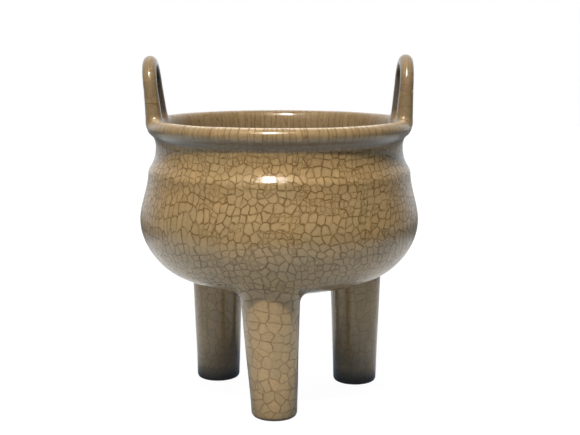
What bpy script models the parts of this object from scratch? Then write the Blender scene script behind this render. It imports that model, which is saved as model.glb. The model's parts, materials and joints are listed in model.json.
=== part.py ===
"""Tripod incense burner in the form of an ancient bronze cauldron, one piece of glazed stoneware.

A turned bowl with a rolled rim stands on three solid, tapering legs, and two upright loop handles
rise from the rim. The legs and handles were joined on with slip and fired with the bowl, so the
whole burner is one solid. Units are metres and +Z is up. The bowl's axis is the Z axis, the feet
stand on z = 0, and the handles stand at -X and +X.
"""
import math

import bmesh
import bpy
import numpy as np
from mathutils import Vector
from mathutils.geometry import interpolate_bezier

# Bowl, heights stacked from the ground up
LEG_CLEARANCE = 0.0491         # ground to the underside of the bowl
UNDERSIDE_TO_TURN = 0.0108     # up to where the wall turns in under the belly
TURN_TO_BELLY = 0.0201         # up to the widest place
BELLY_TO_SHOULDER = 0.0209     # up to the soft edge of the shoulder
SHOULDER_TO_NECK = 0.0116      # up to the narrowest place
NECK_TO_UNDERCUT = 0.0054      # up to the hollow under the rim, where its curve turns over
UNDERCUT_TO_LIP = 0.0033       # up to the rim's outermost edge
LIP_TO_CREST = 0.0033          # up to the top of the rim

# Bowl, radii from the axis
BELLY_RADIUS = 0.0620
TURN_STEP = 0.0098             # where the wall turns in, inside the belly
NECK_RADIUS = 0.0547
SHOULDER_STEP = 0.0035         # shoulder edge beyond the neck
LIP_OVERHANG = 0.0038          # rim's outermost edge beyond the neck
UNDERCUT_STEP = 0.0018         # hollow under the rim inside its outermost edge
CREST_INSET = 0.0030           # top of the rim inside its outermost edge
MOUTH_EDGE = 0.0034            # how far in the rim's top starts to turn down into the mouth
WALL = 0.0040
FLOOR = 0.0045

# Bowl, how far each curve keeps its direction, as shares of that stretch
CREST_ROUND = 0.40
LIP_ROUND_ABOVE = 0.50
LIP_ROUND_BELOW = 0.39
UNDERCUT_ROUND_ABOVE = 0.20
UNDERCUT_ROUND_BELOW = 0.19
MOUTH_ROUND = 0.88
NECK_ROUND_ABOVE = 0.56
NECK_ROUND_BELOW = 0.65
SHOULDER_ROUND_ABOVE = 0.25
SHOULDER_ROUND_BELOW = 0.36
BELLY_ROUND_ABOVE = 0.32
BELLY_ROUND_BELOW = 0.48
TURN_ROUND_ABOVE = 0.21
TURN_ROUND_BELOW = 0.98
UNDERSIDE_FLATNESS = 0.52
SHOULDER_SLOPE = 0.05          # outward run of the wall for each unit of drop, at the shoulder edge
TURN_ANGLE = math.radians(42)  # how steeply the wall runs in where it turns, below the horizontal
UNDERCUT_ANGLE = math.radians(40)  # the same in the hollow under the rim

# Legs
LEG_CIRCLE_RADIUS = 0.0373
LEG_CIRCLE_SHIFT = 0.0015      # the three legs were set a little to one side of the bowl's axis
LEG_START_ANGLE = math.radians(-95.45)
LEG_COUNT = 3
FRONT_LEG_FOOT_RADIUS = 0.0097
FRONT_LEG_TOP_RADIUS = 0.0125  # where the leg meets the underside
REAR_LEG_FOOT_RADIUS = 0.0099
REAR_LEG_TOP_RADIUS = 0.0117
FOOT_EDGE_RADIUS = 0.0018
FRONT_LEG_LEAN = 0.0016        # the first leg's top stands this far to -X of its foot

# Handles
LEFT_HANDLE_HEIGHT = 0.0275    # top of the handle above the rim
RIGHT_HANDLE_HEIGHT = 0.0281
HANDLE_POST_SPACING = 0.0240   # between the posts' centres at the rim
HANDLE_ARCH_SPACING = 0.0222   # between the posts' centres where the arch springs
ROOT_BELOW_LIP = 0.0004        # the posts run on, tapering, to this far below the rim's outermost edge
ROOT_NECKING = 0.9             # bar's radius halfway down the root, as a share of its foot radius
ROOT_TIP = 0.5                 # the same at the root's end
BAR_FOOT_RADIUS = 0.0037
BAR_TOP_RADIUS = 0.0031
LEFT_HANDLE_LEAN = math.radians(6.0)
RIGHT_HANDLE_LEAN = math.radians(3.2)

# Fineness of the faceted surfaces
BOWL_SIDES = 64
RIM_STEPS = 4
MOUTH_STEPS = 6
LIP_STEPS = 4
UNDERCUT_STEPS = 4
NECK_STEPS = 4
SHOULDER_STEPS = 4
BELLY_STEPS = 5
UNDERSIDE_STEPS = 6
LEG_SIDES = 24
LEG_STEPS = 6
FOOT_EDGE_STEPS = 3
BAR_RESOLUTION = 4
POST_STEPS = 4
ARCH_STEPS = 6
SMOOTH_ANGLE = math.radians(40)
MERGE_DISTANCE = 0.00001

# Heights and radii that follow from the sizes above
TURN_Z = LEG_CLEARANCE + UNDERSIDE_TO_TURN
BELLY_Z = TURN_Z + TURN_TO_BELLY
SHOULDER_Z = BELLY_Z + BELLY_TO_SHOULDER
NECK_Z = SHOULDER_Z + SHOULDER_TO_NECK
UNDERCUT_Z = NECK_Z + NECK_TO_UNDERCUT
LIP_Z = UNDERCUT_Z + UNDERCUT_TO_LIP
CREST_Z = LIP_Z + LIP_TO_CREST
SHOULDER_RADIUS = NECK_RADIUS + SHOULDER_STEP
LIP_RADIUS = NECK_RADIUS + LIP_OVERHANG
UNDERCUT_RADIUS = LIP_RADIUS - UNDERCUT_STEP
CREST_RADIUS = LIP_RADIUS - CREST_INSET


def clear_scene():
    """Removes every object of the open file."""
    for thing in list(bpy.data.objects):
        bpy.data.objects.remove(thing, do_unlink=True)


def collection(name):
    """Makes a collection under the scene's own."""
    group = bpy.data.collections.new(name)
    bpy.context.scene.collection.children.link(group)
    return group


def glaze_material():
    """Greyish-gold glaze over stoneware, glossy."""
    material = bpy.data.materials.new("crackled_glaze")
    material.use_nodes = True
    shader = material.node_tree.nodes["Principled BSDF"]
    shader.inputs["Base Color"].default_value = (0.34, 0.25, 0.13, 1.0)
    shader.inputs["Roughness"].default_value = 0.18
    shader.inputs["Metallic"].default_value = 0.0
    return material


def arc(start, start_pull, end_pull, end, steps):
    """Points of one Bezier arc, without its last one. Each point is (radius, height)."""
    ends = [Vector((r, 0.0, z)) for r, z in (start, start_pull, end_pull, end)]
    return [(p.x, p.z) for p in interpolate_bezier(*ends, steps + 1)[:-1]]


def side_outline(inset):
    """Outline of the bowl from the shoulder edge down to the underside's centre, moved in by inset."""
    inward, down = math.cos(TURN_ANGLE), math.sin(TURN_ANGLE)
    shoulder = (SHOULDER_RADIUS - inset, SHOULDER_Z)
    belly = (BELLY_RADIUS - inset, BELLY_Z)
    turn = (BELLY_RADIUS - TURN_STEP - inset * down, TURN_Z + inset * inward)
    underside = (0.0, LEG_CLEARANCE + inset / WALL * FLOOR)
    shoulder_run = SHOULDER_ROUND_BELOW * BELLY_TO_SHOULDER
    run_in = TURN_ROUND_ABOVE * TURN_TO_BELLY
    run_out = TURN_ROUND_BELOW * UNDERSIDE_TO_TURN
    points = arc(shoulder,
                 (shoulder[0] + SHOULDER_SLOPE * shoulder_run, SHOULDER_Z - shoulder_run),
                 (belly[0], BELLY_Z + BELLY_ROUND_ABOVE * BELLY_TO_SHOULDER),
                 belly, SHOULDER_STEPS)
    points += arc(belly,
                  (belly[0], BELLY_Z - BELLY_ROUND_BELOW * (BELLY_Z - turn[1])),
                  (turn[0] + run_in * inward, turn[1] + run_in * down),
                  turn, BELLY_STEPS)
    points += arc(turn,
                  (turn[0] - run_out * inward, turn[1] - run_out * down),
                  (UNDERSIDE_FLATNESS * turn[0], underside[1]),
                  underside, UNDERSIDE_STEPS)
    return points + [underside]


def neck_outline(inset):
    """Outline from the neck down to the shoulder edge, moved in by inset, without its last point."""
    shoulder_run = SHOULDER_ROUND_ABOVE * SHOULDER_TO_NECK
    shoulder = (SHOULDER_RADIUS - inset, SHOULDER_Z)
    return arc((NECK_RADIUS - inset, NECK_Z),
               (NECK_RADIUS - inset, NECK_Z - NECK_ROUND_BELOW * SHOULDER_TO_NECK),
               (shoulder[0] - SHOULDER_SLOPE * shoulder_run, SHOULDER_Z + shoulder_run),
               shoulder, NECK_STEPS)


def outer_outline():
    """Outside of the bowl, from the top of the rim down to the underside's centre."""
    inward, down = math.cos(UNDERCUT_ANGLE), math.sin(UNDERCUT_ANGLE)
    run_in = UNDERCUT_ROUND_ABOVE * UNDERCUT_TO_LIP
    run_out = UNDERCUT_ROUND_BELOW * NECK_TO_UNDERCUT
    crest = (CREST_RADIUS, CREST_Z)
    lip = (LIP_RADIUS, LIP_Z)
    undercut = (UNDERCUT_RADIUS, UNDERCUT_Z)
    neck = (NECK_RADIUS, NECK_Z)
    points = arc(crest,
                 (CREST_RADIUS + CREST_ROUND * CREST_INSET, CREST_Z),
                 (LIP_RADIUS, LIP_Z + LIP_ROUND_ABOVE * LIP_TO_CREST),
                 lip, RIM_STEPS)
    points += arc(lip,
                  (LIP_RADIUS, LIP_Z - LIP_ROUND_BELOW * UNDERCUT_TO_LIP),
                  (UNDERCUT_RADIUS + run_in * inward, UNDERCUT_Z + run_in * down),
                  undercut, LIP_STEPS)
    points += arc(undercut,
                  (UNDERCUT_RADIUS - run_out * inward, UNDERCUT_Z - run_out * down),
                  (NECK_RADIUS, NECK_Z + NECK_ROUND_ABOVE * NECK_TO_UNDERCUT),
                  neck, UNDERCUT_STEPS)
    return points + neck_outline(0.0) + side_outline(0.0)


def inner_outline():
    """Inside of the bowl, from the top of the rim down to the floor's centre."""
    mouth_rise = CREST_Z - NECK_Z
    mouth = arc((CREST_RADIUS, CREST_Z),
                (CREST_RADIUS - MOUTH_EDGE, CREST_Z),
                (NECK_RADIUS - WALL, NECK_Z + MOUTH_ROUND * mouth_rise),
                (NECK_RADIUS - WALL, NECK_Z), MOUTH_STEPS)
    return mouth + neck_outline(WALL) + side_outline(WALL)


def turned(name, outline, sides, group):
    """Turns an outline of (radius, height) points about the Z axis."""
    mesh = bpy.data.meshes.new(name)
    vertices = [(r, 0.0, z) for r, z in outline]
    mesh.from_pydata(vertices, [(i, i + 1) for i in range(len(vertices) - 1)], [])
    body = bpy.data.objects.new(name, mesh)
    group.objects.link(body)
    screw = body.modifiers.new("Turn", "SCREW")
    screw.axis = "Z"
    screw.steps = sides
    screw.render_steps = sides
    screw.use_merge_vertices = True
    screw.merge_threshold = MERGE_DISTANCE
    screw.use_smooth_shade = True
    return body


def as_mesh(source, group):
    """Replaces a curve or a modified object by the plain, welded mesh that it makes."""
    bpy.context.view_layer.update()
    evaluated = source.evaluated_get(bpy.context.evaluated_depsgraph_get())
    mesh = bpy.data.meshes.new_from_object(evaluated)
    work = bmesh.new()
    work.from_mesh(mesh)
    bmesh.ops.remove_doubles(work, verts=work.verts, dist=MERGE_DISTANCE)
    work.to_mesh(mesh)
    work.free()
    name = source.name
    place = source.matrix_world.copy()
    bpy.data.objects.remove(source, do_unlink=True)
    solid = bpy.data.objects.new(name, mesh)
    solid.matrix_world = place
    group.objects.link(solid)
    return solid


def as_tool(thing):
    """Marks an object that only cuts or joins another one."""
    thing.hide_render = True
    thing.display_type = "WIRE"
    return thing


def boolean(target, tool, operation):
    """Adds one exact Boolean to an object."""
    modifier = target.modifiers.new(tool.name, "BOOLEAN")
    modifier.operation = operation
    modifier.solver = "EXACT"
    modifier.object = tool


def leg_outline(foot_radius, top_radius):
    """Outline of an upright leg about its own axis, from inside the bowl down to the foot."""
    taper = (top_radius - foot_radius) / LEG_CLEARANCE
    buried_radius = foot_radius + taper * BELLY_Z
    points = [(0.0, BELLY_Z), (buried_radius, BELLY_Z)]
    for z in np.linspace(LEG_CLEARANCE, FOOT_EDGE_RADIUS, LEG_STEPS + 1):
        points.append((foot_radius + taper * z, z))
    for turn in np.linspace(0.0, math.pi / 2, FOOT_EDGE_STEPS + 1)[1:]:
        points.append((foot_radius - FOOT_EDGE_RADIUS * (1 - math.cos(turn)),
                       FOOT_EDGE_RADIUS * (1 - math.sin(turn))))
    return points + [(0.0, 0.0)]


def leg(index, core, group):
    """One leg, with its top hollowed to end halfway through the bowl's wall."""
    is_front = index == 0
    foot_radius = FRONT_LEG_FOOT_RADIUS if is_front else REAR_LEG_FOOT_RADIUS
    top_radius = FRONT_LEG_TOP_RADIUS if is_front else REAR_LEG_TOP_RADIUS
    lean = FRONT_LEG_LEAN / LEG_CLEARANCE if is_front else 0.0
    outline = leg_outline(foot_radius, top_radius)
    body = as_mesh(turned(f"leg_{index + 1}", outline, LEG_SIDES, group), group)
    angle = LEG_START_ANGLE + 2 * math.pi * index / LEG_COUNT
    for vertex in body.data.vertices:
        vertex.co.x += LEG_CIRCLE_SHIFT + LEG_CIRCLE_RADIUS * math.cos(angle) - lean * vertex.co.z
        vertex.co.y += LEG_CIRCLE_RADIUS * math.sin(angle)
    boolean(body, core, "DIFFERENCE")
    return as_tool(body)


def handle_path(side, height, lean):
    """Centre line of a handle with the bar's radius at each point, from one buried end to the other."""
    foot_half = HANDLE_POST_SPACING / 2
    arch_half = HANDLE_ARCH_SPACING / 2
    foot_x = math.sqrt(CREST_RADIUS ** 2 - foot_half ** 2)
    spring = height - BAR_TOP_RADIUS - arch_half
    root = LIP_TO_CREST + ROOT_BELOW_LIP
    half = [(foot_half, -root, ROOT_TIP * BAR_FOOT_RADIUS),
            (foot_half, -root / 2, ROOT_NECKING * BAR_FOOT_RADIUS)]
    for share in np.linspace(0.0, 1.0, POST_STEPS + 1):
        half.append((foot_half + (arch_half - foot_half) * share, spring * share,
                     BAR_FOOT_RADIUS + (BAR_TOP_RADIUS - BAR_FOOT_RADIUS) * share))
    for angle in np.linspace(0.0, math.pi / 2, ARCH_STEPS + 1)[1:]:
        half.append((arch_half * math.cos(angle), spring + arch_half * math.sin(angle), BAR_TOP_RADIUS))
    whole = half + [(-y, z, r) for y, z, r in reversed(half[:-1])]
    return [(side * (foot_x + z * math.tan(lean)), y, CREST_Z + z, r) for y, z, r in whole]


def handle(name, side, height, lean, group):
    """One loop handle, a bent bar whose ends are buried in the rim."""
    curve = bpy.data.curves.new(name, "CURVE")
    curve.dimensions = "3D"
    curve.bevel_depth = 1.0
    curve.bevel_resolution = BAR_RESOLUTION
    curve.use_fill_caps = True
    path = handle_path(side, height, lean)
    spline = curve.splines.new("POLY")
    spline.points.add(len(path) - 1)
    for point, (x, y, z, radius) in zip(spline.points, path):
        point.co = (x, y, z, 1.0)
        point.radius = radius
    bar = bpy.data.objects.new(name, curve)
    group.objects.link(bar)
    return as_tool(as_mesh(bar, group))


def build():
    """Makes the burner: the turned bowl, joined with its legs and handles into one solid."""
    clear_scene()
    parts = collection("incense_burner")
    tools = collection("tools")

    core_outline = [(0.0, SHOULDER_Z)] + side_outline(WALL / 2)
    core = as_tool(turned("wall_middle", core_outline, BOWL_SIDES, tools))

    inside = inner_outline()
    outline = inside[:0:-1] + outer_outline()
    bowl = turned("bowl", outline, BOWL_SIDES, tools)
    for index in range(LEG_COUNT):
        boolean(bowl, leg(index, core, tools), "UNION")
    left = handle("handle_left", -1, LEFT_HANDLE_HEIGHT, LEFT_HANDLE_LEAN, tools)
    right = handle("handle_right", 1, RIGHT_HANDLE_HEIGHT, RIGHT_HANDLE_LEAN, tools)
    boolean(bowl, left, "UNION")
    boolean(bowl, right, "UNION")

    burner = as_mesh(bowl, parts)
    burner.name = "censer"
    burner.data.name = "censer"
    burner.data.shade_smooth()
    burner.data.set_sharp_from_angle(angle=SMOOTH_ANGLE)
    burner.data.materials.clear()
    burner.data.materials.append(glaze_material())


if __name__ == "__main__":
    build()
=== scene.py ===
"""Looks of a tripod incense burner: one piece of stoneware under a thick, crackled, greyish-gold glaze.

The bowl is turned from its outline, the legs are turned beside it and the loop handles are bent from
a bar. The raw shapes are joined, and their skin is then settled onto the exact surface, with the soft
fillets that the slip and the glaze leave. Units are metres, +Z is up, and the bowl's axis is the Z axis.
"""
import json
import logging
import math
from dataclasses import dataclass
from enum import Enum

import bpy
import numpy as np
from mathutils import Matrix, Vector
from mathutils.kdtree import KDTree


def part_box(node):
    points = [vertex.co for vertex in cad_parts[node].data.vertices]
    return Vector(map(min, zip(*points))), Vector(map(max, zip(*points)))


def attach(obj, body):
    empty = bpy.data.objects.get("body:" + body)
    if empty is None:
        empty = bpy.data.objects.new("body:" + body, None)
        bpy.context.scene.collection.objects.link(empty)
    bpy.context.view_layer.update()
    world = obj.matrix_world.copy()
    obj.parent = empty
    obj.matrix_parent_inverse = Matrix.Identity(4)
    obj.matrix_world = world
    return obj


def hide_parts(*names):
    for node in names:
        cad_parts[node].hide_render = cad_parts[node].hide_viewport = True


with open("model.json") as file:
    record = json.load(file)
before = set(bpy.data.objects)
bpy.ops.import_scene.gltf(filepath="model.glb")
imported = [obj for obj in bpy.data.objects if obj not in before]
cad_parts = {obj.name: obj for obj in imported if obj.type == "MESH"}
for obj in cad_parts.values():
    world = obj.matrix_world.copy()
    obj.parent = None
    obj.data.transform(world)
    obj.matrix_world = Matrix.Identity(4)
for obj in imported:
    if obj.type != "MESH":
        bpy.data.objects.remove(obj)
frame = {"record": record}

log = logging.getLogger("incense_burner")
Socket = bpy.types.NodeSocket

MILLIMETRE = 0.001
FAR_AWAY = 1.0                  # distance given where a limb has no say, in metres
BLACK = (0.0, 0.0, 0.0, 1.0)
WHITE = (1.0, 1.0, 1.0, 1.0)
WELD_DISTANCE = 0.00001         # points of a raw shape closer than this are one
SHORTEST = 1e-9                 # least length that anything is divided by
AXIS_GAP = 1e-6                 # least distance from the bowl's axis
LEG_CLEARANCE = 0.0491          # height of the bowl's underside over the ground
PATTERN_RADIUS = 58.0           # millimetres from the axis at which the wall's cracks are laid out
FRONT_LEG_SHIFT = 0.0016        # how far the front leg's top stands to the left of its foot
LEFT_HANDLE_DROP = 0.0006       # how much lower the left handle ends than the right one


class Raw(Enum):
    """How a raw shape is made from its line of points."""

    TURNED = "turned about an upright axis"
    BENT = "swept along the line"


class Region(Enum):
    """Attributes of the finished skin that the glaze reads."""

    RUN = "body_run"            # way along the outline, in millimetres, drawn out where cells are long
    FLAT = "flat_side"          # over 0 on the floor and the underside, where cracks lie in plan
    LIMB = "limb_place"         # place about a limb's own line: across, along the other way, run
    GIRTH = "limb_girth"        # radius of the limb in millimetres
    SIDE = "limb_side"          # over 0 on a limb, under 0 on the bowl
    DEPTH = "painted_shade_and_tint"       # painted shade (under the lip also glaze pooled in the recess), how brown the glaze is, and how thin it lies, with a painted highlight on the thin rim
    HABIT = "crack_habit"       # how often cells are divided, how plainly the cracks show, and their width
    PACE = "pattern_pace"       # millimetres of pattern for each of skin, across and along, and its shift


@dataclass(frozen=True)
class Fade:
    """A level that changes smoothly between two places and holds at both ends."""

    low: float
    high: float
    start: float = 0.0
    end: float = 1.0


@dataclass(frozen=True)
class Patches:
    """Soft random patches, and the levels that their troughs and crests get."""

    scale: float                # patches for each millimetre
    detail: float
    levels: Fade


class Graph:
    """Adds nodes to a tree in short calls."""

    def __init__(self, tree: bpy.types.NodeTree) -> None:
        """Keeps the tree.

        Args:
            tree: A shader or Geometry Nodes tree.
        """
        self.tree = tree

    def add(self, kind: str, inputs: dict | None = None, **settings) -> bpy.types.Node:
        """Adds one node.

        Args:
            kind: The node's type name.
            inputs: Values or sockets by the input's name or number.
            **settings: Properties of the node.

        Returns:
            The new node.
        """
        node = self.tree.nodes.new(kind)
        for name, value in settings.items():
            setattr(node, name, value)
        for name, value in (inputs or {}).items():
            self.feed(node.inputs[name], value)
        return node

    def feed(self, target: Socket, value: object) -> None:
        """Links a socket to an input, or sets the input's own value.

        Args:
            target: The input.
            value: A socket or a plain value.
        """
        if isinstance(value, Socket):
            self.tree.links.new(value, target)
        else:
            target.default_value = value

    def math(self, operation: str, *values: object, clamp: bool = False) -> Socket:
        """Adds a Math node and returns its result."""
        kind = "ShaderNodeMath"
        return self.add(kind, dict(enumerate(values)), operation=operation, use_clamp=clamp).outputs[0]

    def times(self, first: object, second: object) -> Socket:
        """Returns a product."""
        return self.math("MULTIPLY", first, second)

    def plus(self, first: object, second: object) -> Socket:
        """Returns a sum."""
        return self.math("ADD", first, second)

    def minus(self, first: object, second: object) -> Socket:
        """Returns a difference."""
        return self.math("SUBTRACT", first, second)

    def most(self, first: object, second: object) -> Socket:
        """Returns the greater value."""
        return self.math("MAXIMUM", first, second)

    def least(self, first: object, second: object) -> Socket:
        """Returns the smaller value."""
        return self.math("MINIMUM", first, second)

    def vector(self, operation: str, *values: object) -> Socket:
        """Adds a Vector Math node and returns its result."""
        return self.add("ShaderNodeVectorMath", dict(enumerate(values)), operation=operation).outputs[0]

    def scaled(self, vector: object, factor: object) -> Socket:
        """Returns a vector times a number."""
        return self.add("ShaderNodeVectorMath", {0: vector, 3: factor}, operation="SCALE").outputs[0]

    def dot(self, first: object, second: object) -> Socket:
        """Returns the dot product of two vectors."""
        return self.add("ShaderNodeVectorMath", {0: first, 1: second}, operation="DOT_PRODUCT").outputs[1]

    def length(self, vector: object) -> Socket:
        """Returns the length of a vector."""
        return self.add("ShaderNodeVectorMath", {0: vector}, operation="LENGTH").outputs[1]

    def place(self) -> Socket:
        """Returns the place on the object."""
        return self.add("ShaderNodeTexCoord").outputs["Object"]

    def split(self, vector: object) -> tuple:
        """Returns the three parts of a vector."""
        return tuple(self.add("ShaderNodeSeparateXYZ", {0: vector}).outputs)

    def joined(self, x: object, y: object, z: object = 0.0) -> Socket:
        """Returns a vector made of three parts."""
        return self.add("ShaderNodeCombineXYZ", {0: x, 1: y, 2: z}).outputs[0]

    def ramp(self, value: object, low: object, high: object, start: object = 0.0,
             end: object = 1.0) -> Socket:
        """Maps low to start and high to end, and holds both ends.

        Args:
            value: What is mapped.
            low: Where the change starts.
            high: Where it is complete.
            start: Result up to low.
            end: Result from high on.

        Returns:
            The mapped value.
        """
        inputs = {0: value, 1: low, 2: high, 3: start, 4: end}
        return self.add("ShaderNodeMapRange", inputs, interpolation_type="SMOOTHSTEP").outputs[0]

    def fade(self, value: object, fade: Fade) -> Socket:
        """Maps a value through a fade."""
        return self.ramp(value, fade.low, fade.high, fade.start, fade.end)

    def patches(self, place: object, patches: Patches, dimensions: str = "3D") -> Socket:
        """Returns the level of the random patches at a place."""
        noise = self.noise(place, patches.scale, patches.detail, dimensions)
        return self.fade(noise, patches.levels)

    def colour_mix(self, share: object, first: object, second: object, blend: str = "MIX") -> Socket:
        """Mixes two colours."""
        inputs = {0: share, 6: first, 7: second}
        return self.add("ShaderNodeMix", inputs, data_type="RGBA", blend_type=blend).outputs[2]

    def choice(self, share: object, first: object, second: object) -> Socket:
        """Takes the second vector where share is 1."""
        return self.add("ShaderNodeMix", {0: share, 4: first, 5: second}, data_type="VECTOR").outputs[1]

    def noise(self, vector: object, scale: float, detail: float = 1.0, dimensions: str = "3D",
              output: str = "Fac") -> Socket:
        """Returns soft noise from 0 to 1."""
        inputs = {"Vector": vector, "Scale": scale, "Detail": detail}
        return self.add("ShaderNodeTexNoise", inputs, noise_dimensions=dimensions).outputs[output]

    def cells(self, vector: object, output: str, uneven: float = 1.0, feature: str = "F1") -> Socket:
        """Returns the Position or the random Color of the nearest or second nearest cell of a plane."""
        inputs = {"Vector": vector, "Scale": 1.0, "Randomness": uneven}
        return self.add("ShaderNodeTexVoronoi", inputs, voronoi_dimensions="2D",
                        feature=feature).outputs[output]

    def number(self, region: Region) -> Socket:
        """Returns an attribute of the skin that is a number."""
        return self.add("ShaderNodeAttribute", attribute_name=region.value).outputs["Fac"]

    def three(self, region: Region) -> Socket:
        """Returns an attribute of the skin that holds three numbers."""
        return self.add("ShaderNodeAttribute", attribute_name=region.value).outputs["Vector"]


class Finish:
    """A new material with its shader and its graph."""

    def __init__(self, name: str) -> None:
        """Makes the material.

        Args:
            name: Its name.
        """
        self.material = bpy.data.materials.new(name)
        self.material.use_nodes = True
        self.graph = Graph(self.material.node_tree)
        self.shader = self.material.node_tree.nodes["Principled BSDF"]

    def put(self, name: str, value: object) -> None:
        """Sets or links one of the shader's inputs."""
        self.graph.feed(self.shader.inputs[name], value)


class ShapeTree:
    """Geometry Nodes that make a closed raw shape from a line of points."""

    def __init__(self, raw: Raw) -> None:
        """Builds the tree.

        Args:
            raw: Whether the line is turned about an axis or swept as a bar.
        """
        self.tree = bpy.data.node_groups.new(f"raw_{raw.name.lower()}", "GeometryNodeTree")
        self.sockets: dict[str, str] = {}
        self.graph = Graph(self.tree)
        self._input("Line", "NodeSocketGeometry")
        self._input("Sides", "NodeSocketInt")
        self._input("Clay", "NodeSocketMaterial")
        if raw is Raw.TURNED:
            self._input("Rings", "NodeSocketInt")
            self._input("Centre", "NodeSocketVector")
            self._input("Lean", "NodeSocketFloat")
        self.tree.interface.new_socket("Shape", in_out="OUTPUT", socket_type="NodeSocketGeometry")
        self.source = self.graph.add("NodeGroupInput").outputs
        line = self.graph.add("GeometryNodeMeshToCurve", {0: self.source["Line"]}).outputs[0]
        shape = self._turned(line) if raw is Raw.TURNED else self._bent(line)
        welded = self.graph.add("GeometryNodeMergeByDistance", {0: shape, "Distance": WELD_DISTANCE})
        real = self.graph.add("GeometryNodeRealizeInstances", {0: welded.outputs[0]})
        inputs = {0: real.outputs[0], "Material": self.source["Clay"]}
        dressed = self.graph.add("GeometryNodeSetMaterial", inputs)
        self.graph.add("NodeGroupOutput", {0: dressed.outputs[0]})

    def _input(self, name: str, kind: str) -> None:
        """Adds a named input and keeps its identifier."""
        socket = self.tree.interface.new_socket(name, in_out="INPUT", socket_type=kind)
        self.sockets[name] = socket.identifier

    def _turned(self, line: Socket) -> Socket:
        """Bends a grid round the axis, with each of its columns laid along the outline.

        Args:
            line: The outline as a curve of (radius, 0, height).

        Returns:
            The turned mesh, leaning and standing on its centre.
        """
        g = self.graph
        columns = g.plus(self.source["Sides"], 1.0)
        inputs = {"Size X": 1.0, "Size Y": 1.0, "Vertices X": self.source["Rings"], "Vertices Y": columns}
        grid = g.add("GeometryNodeMeshGrid", inputs).outputs[0]
        across, around, _ = g.split(g.add("GeometryNodeInputPosition").outputs[0])
        share = g.math("ADD", across, 0.5, clamp=True)
        sample = g.add("GeometryNodeSampleCurve", {"Curves": line, "Factor": share}, mode="FACTOR")
        angle = g.times(around, 2.0 * math.pi)
        place = g.add("ShaderNodeVectorRotate", {"Vector": sample.outputs["Position"], "Angle": angle},
                      rotation_type="Z_AXIS").outputs[0]
        _, _, height = g.split(place)
        shift = g.joined(g.times(height, self.source["Lean"]), 0.0)
        stood = g.vector("ADD", g.vector("SUBTRACT", place, shift), self.source["Centre"])
        return g.add("GeometryNodeSetPosition", {0: grid, "Position": stood}).outputs[0]

    def _bent(self, line: Socket) -> Socket:
        """Sweeps a round section along the line, as thick as its own attribute says.

        Args:
            line: The bar's centre line.

        Returns:
            The swept mesh, with closed ends.
        """
        g = self.graph
        inputs = {"Resolution": self.source["Sides"], "Radius": 1.0}
        section = g.add("GeometryNodeCurvePrimitiveCircle", inputs, mode="RADIUS").outputs[0]
        thickness = g.add("GeometryNodeInputNamedAttribute", {"Name": "thickness"}, data_type="FLOAT")
        inputs = {0: line, 1: section, "Scale": thickness.outputs[0], "Fill Caps": True}
        return g.add("GeometryNodeCurveToMesh", inputs).outputs[0]

    def make(self, name: str, points: np.ndarray, thickness: np.ndarray | None = None,
             **sizes: object) -> bpy.types.Mesh:
        """Runs the tree on one line of points.

        Args:
            name: Name of the raw shape.
            points: The line's points, one row each.
            thickness: Radius of a bar at each point.
            **sizes: Values of the tree's named inputs.

        Returns:
            The plain mesh.
        """
        mesh = bpy.data.meshes.new(name)
        mesh.from_pydata(points.tolist(), [(i, i + 1) for i in range(len(points) - 1)], [])
        if thickness is not None:
            mesh.attributes.new("thickness", "FLOAT", "POINT").data.foreach_set("value", thickness)
        source = bpy.data.objects.new(name, mesh)
        bpy.context.scene.collection.objects.link(source)
        modifier = source.modifiers.new("Raw shape", "NODES")
        modifier.node_group = self.tree
        for size, value in sizes.items():
            modifier[self.sockets[size]] = value
        return plain_mesh(source)


def plain_mesh(source: bpy.types.Object) -> bpy.types.Mesh:
    """Replaces an object with modifiers by the mesh that they make.

    Args:
        source: The object, which is removed.

    Returns:
        The evaluated mesh.
    """
    bpy.context.view_layer.update()
    evaluated = source.evaluated_get(bpy.context.evaluated_depsgraph_get())
    mesh = bpy.data.meshes.new_from_object(evaluated)
    source.modifiers.clear()
    bpy.data.objects.remove(source, do_unlink=True)
    return mesh


def show_only(shown: bpy.types.Object, *rays: str) -> None:
    """Hides an object from all kinds of rays but the named ones of camera, diffuse, glossy and shadow."""
    for ray in ("camera", "diffuse", "glossy", "shadow"):
        setattr(shown, f"visible_{ray}", ray in rays)


def points_of(mesh: bpy.types.Mesh) -> np.ndarray:
    """Returns a mesh's vertex places, one row each."""
    places = np.empty(len(mesh.vertices) * 3)
    mesh.vertices.foreach_get("co", places)
    return places.reshape(-1, 3)


def lengths(vectors: np.ndarray) -> np.ndarray:
    """Returns each row's length, never quite 0."""
    return np.maximum(np.linalg.norm(vectors, axis=1), SHORTEST)


def arc(start: tuple, start_pull: tuple, end_pull: tuple, end: tuple, steps: int) -> np.ndarray:
    """Lays out one Bezier arc.

    Args:
        start: Where it starts.
        start_pull: Point that its start heads for.
        end_pull: Point that its end comes from.
        end: Where it ends.
        steps: Number of its steps.

    Returns:
        Its points, without the last one.
    """
    t = np.linspace(0.0, 1.0, steps + 1)[:-1, None]
    corners = np.array([start, start_pull, end_pull, end])
    weights = np.hstack([(1 - t) ** 3, 3 * (1 - t) ** 2 * t, 3 * (1 - t) * t ** 2, t ** 3])
    return weights @ corners


@dataclass
class Skin:
    """Signed distance from a surface and its outward direction, at many places."""

    depth: np.ndarray
    outward: np.ndarray

    def joined(self, other: "Skin", fillet: float) -> "Skin":
        """Joins two solids with a soft fillet.

        Args:
            other: The other solid's distances.
            fillet: How far from the joint the fillet starts.

        Returns:
            Distances from the joined solid.
        """
        overlap = np.clip(fillet - np.abs(self.depth - other.depth), 0.0, None) / fillet
        first = np.where(self.depth < other.depth, 1.0 - overlap / 2, overlap / 2)[:, None]
        depth = np.minimum(self.depth, other.depth) - overlap ** 2 * fillet / 4
        return Skin(depth, first * self.outward + (1.0 - first) * other.outward)


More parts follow.
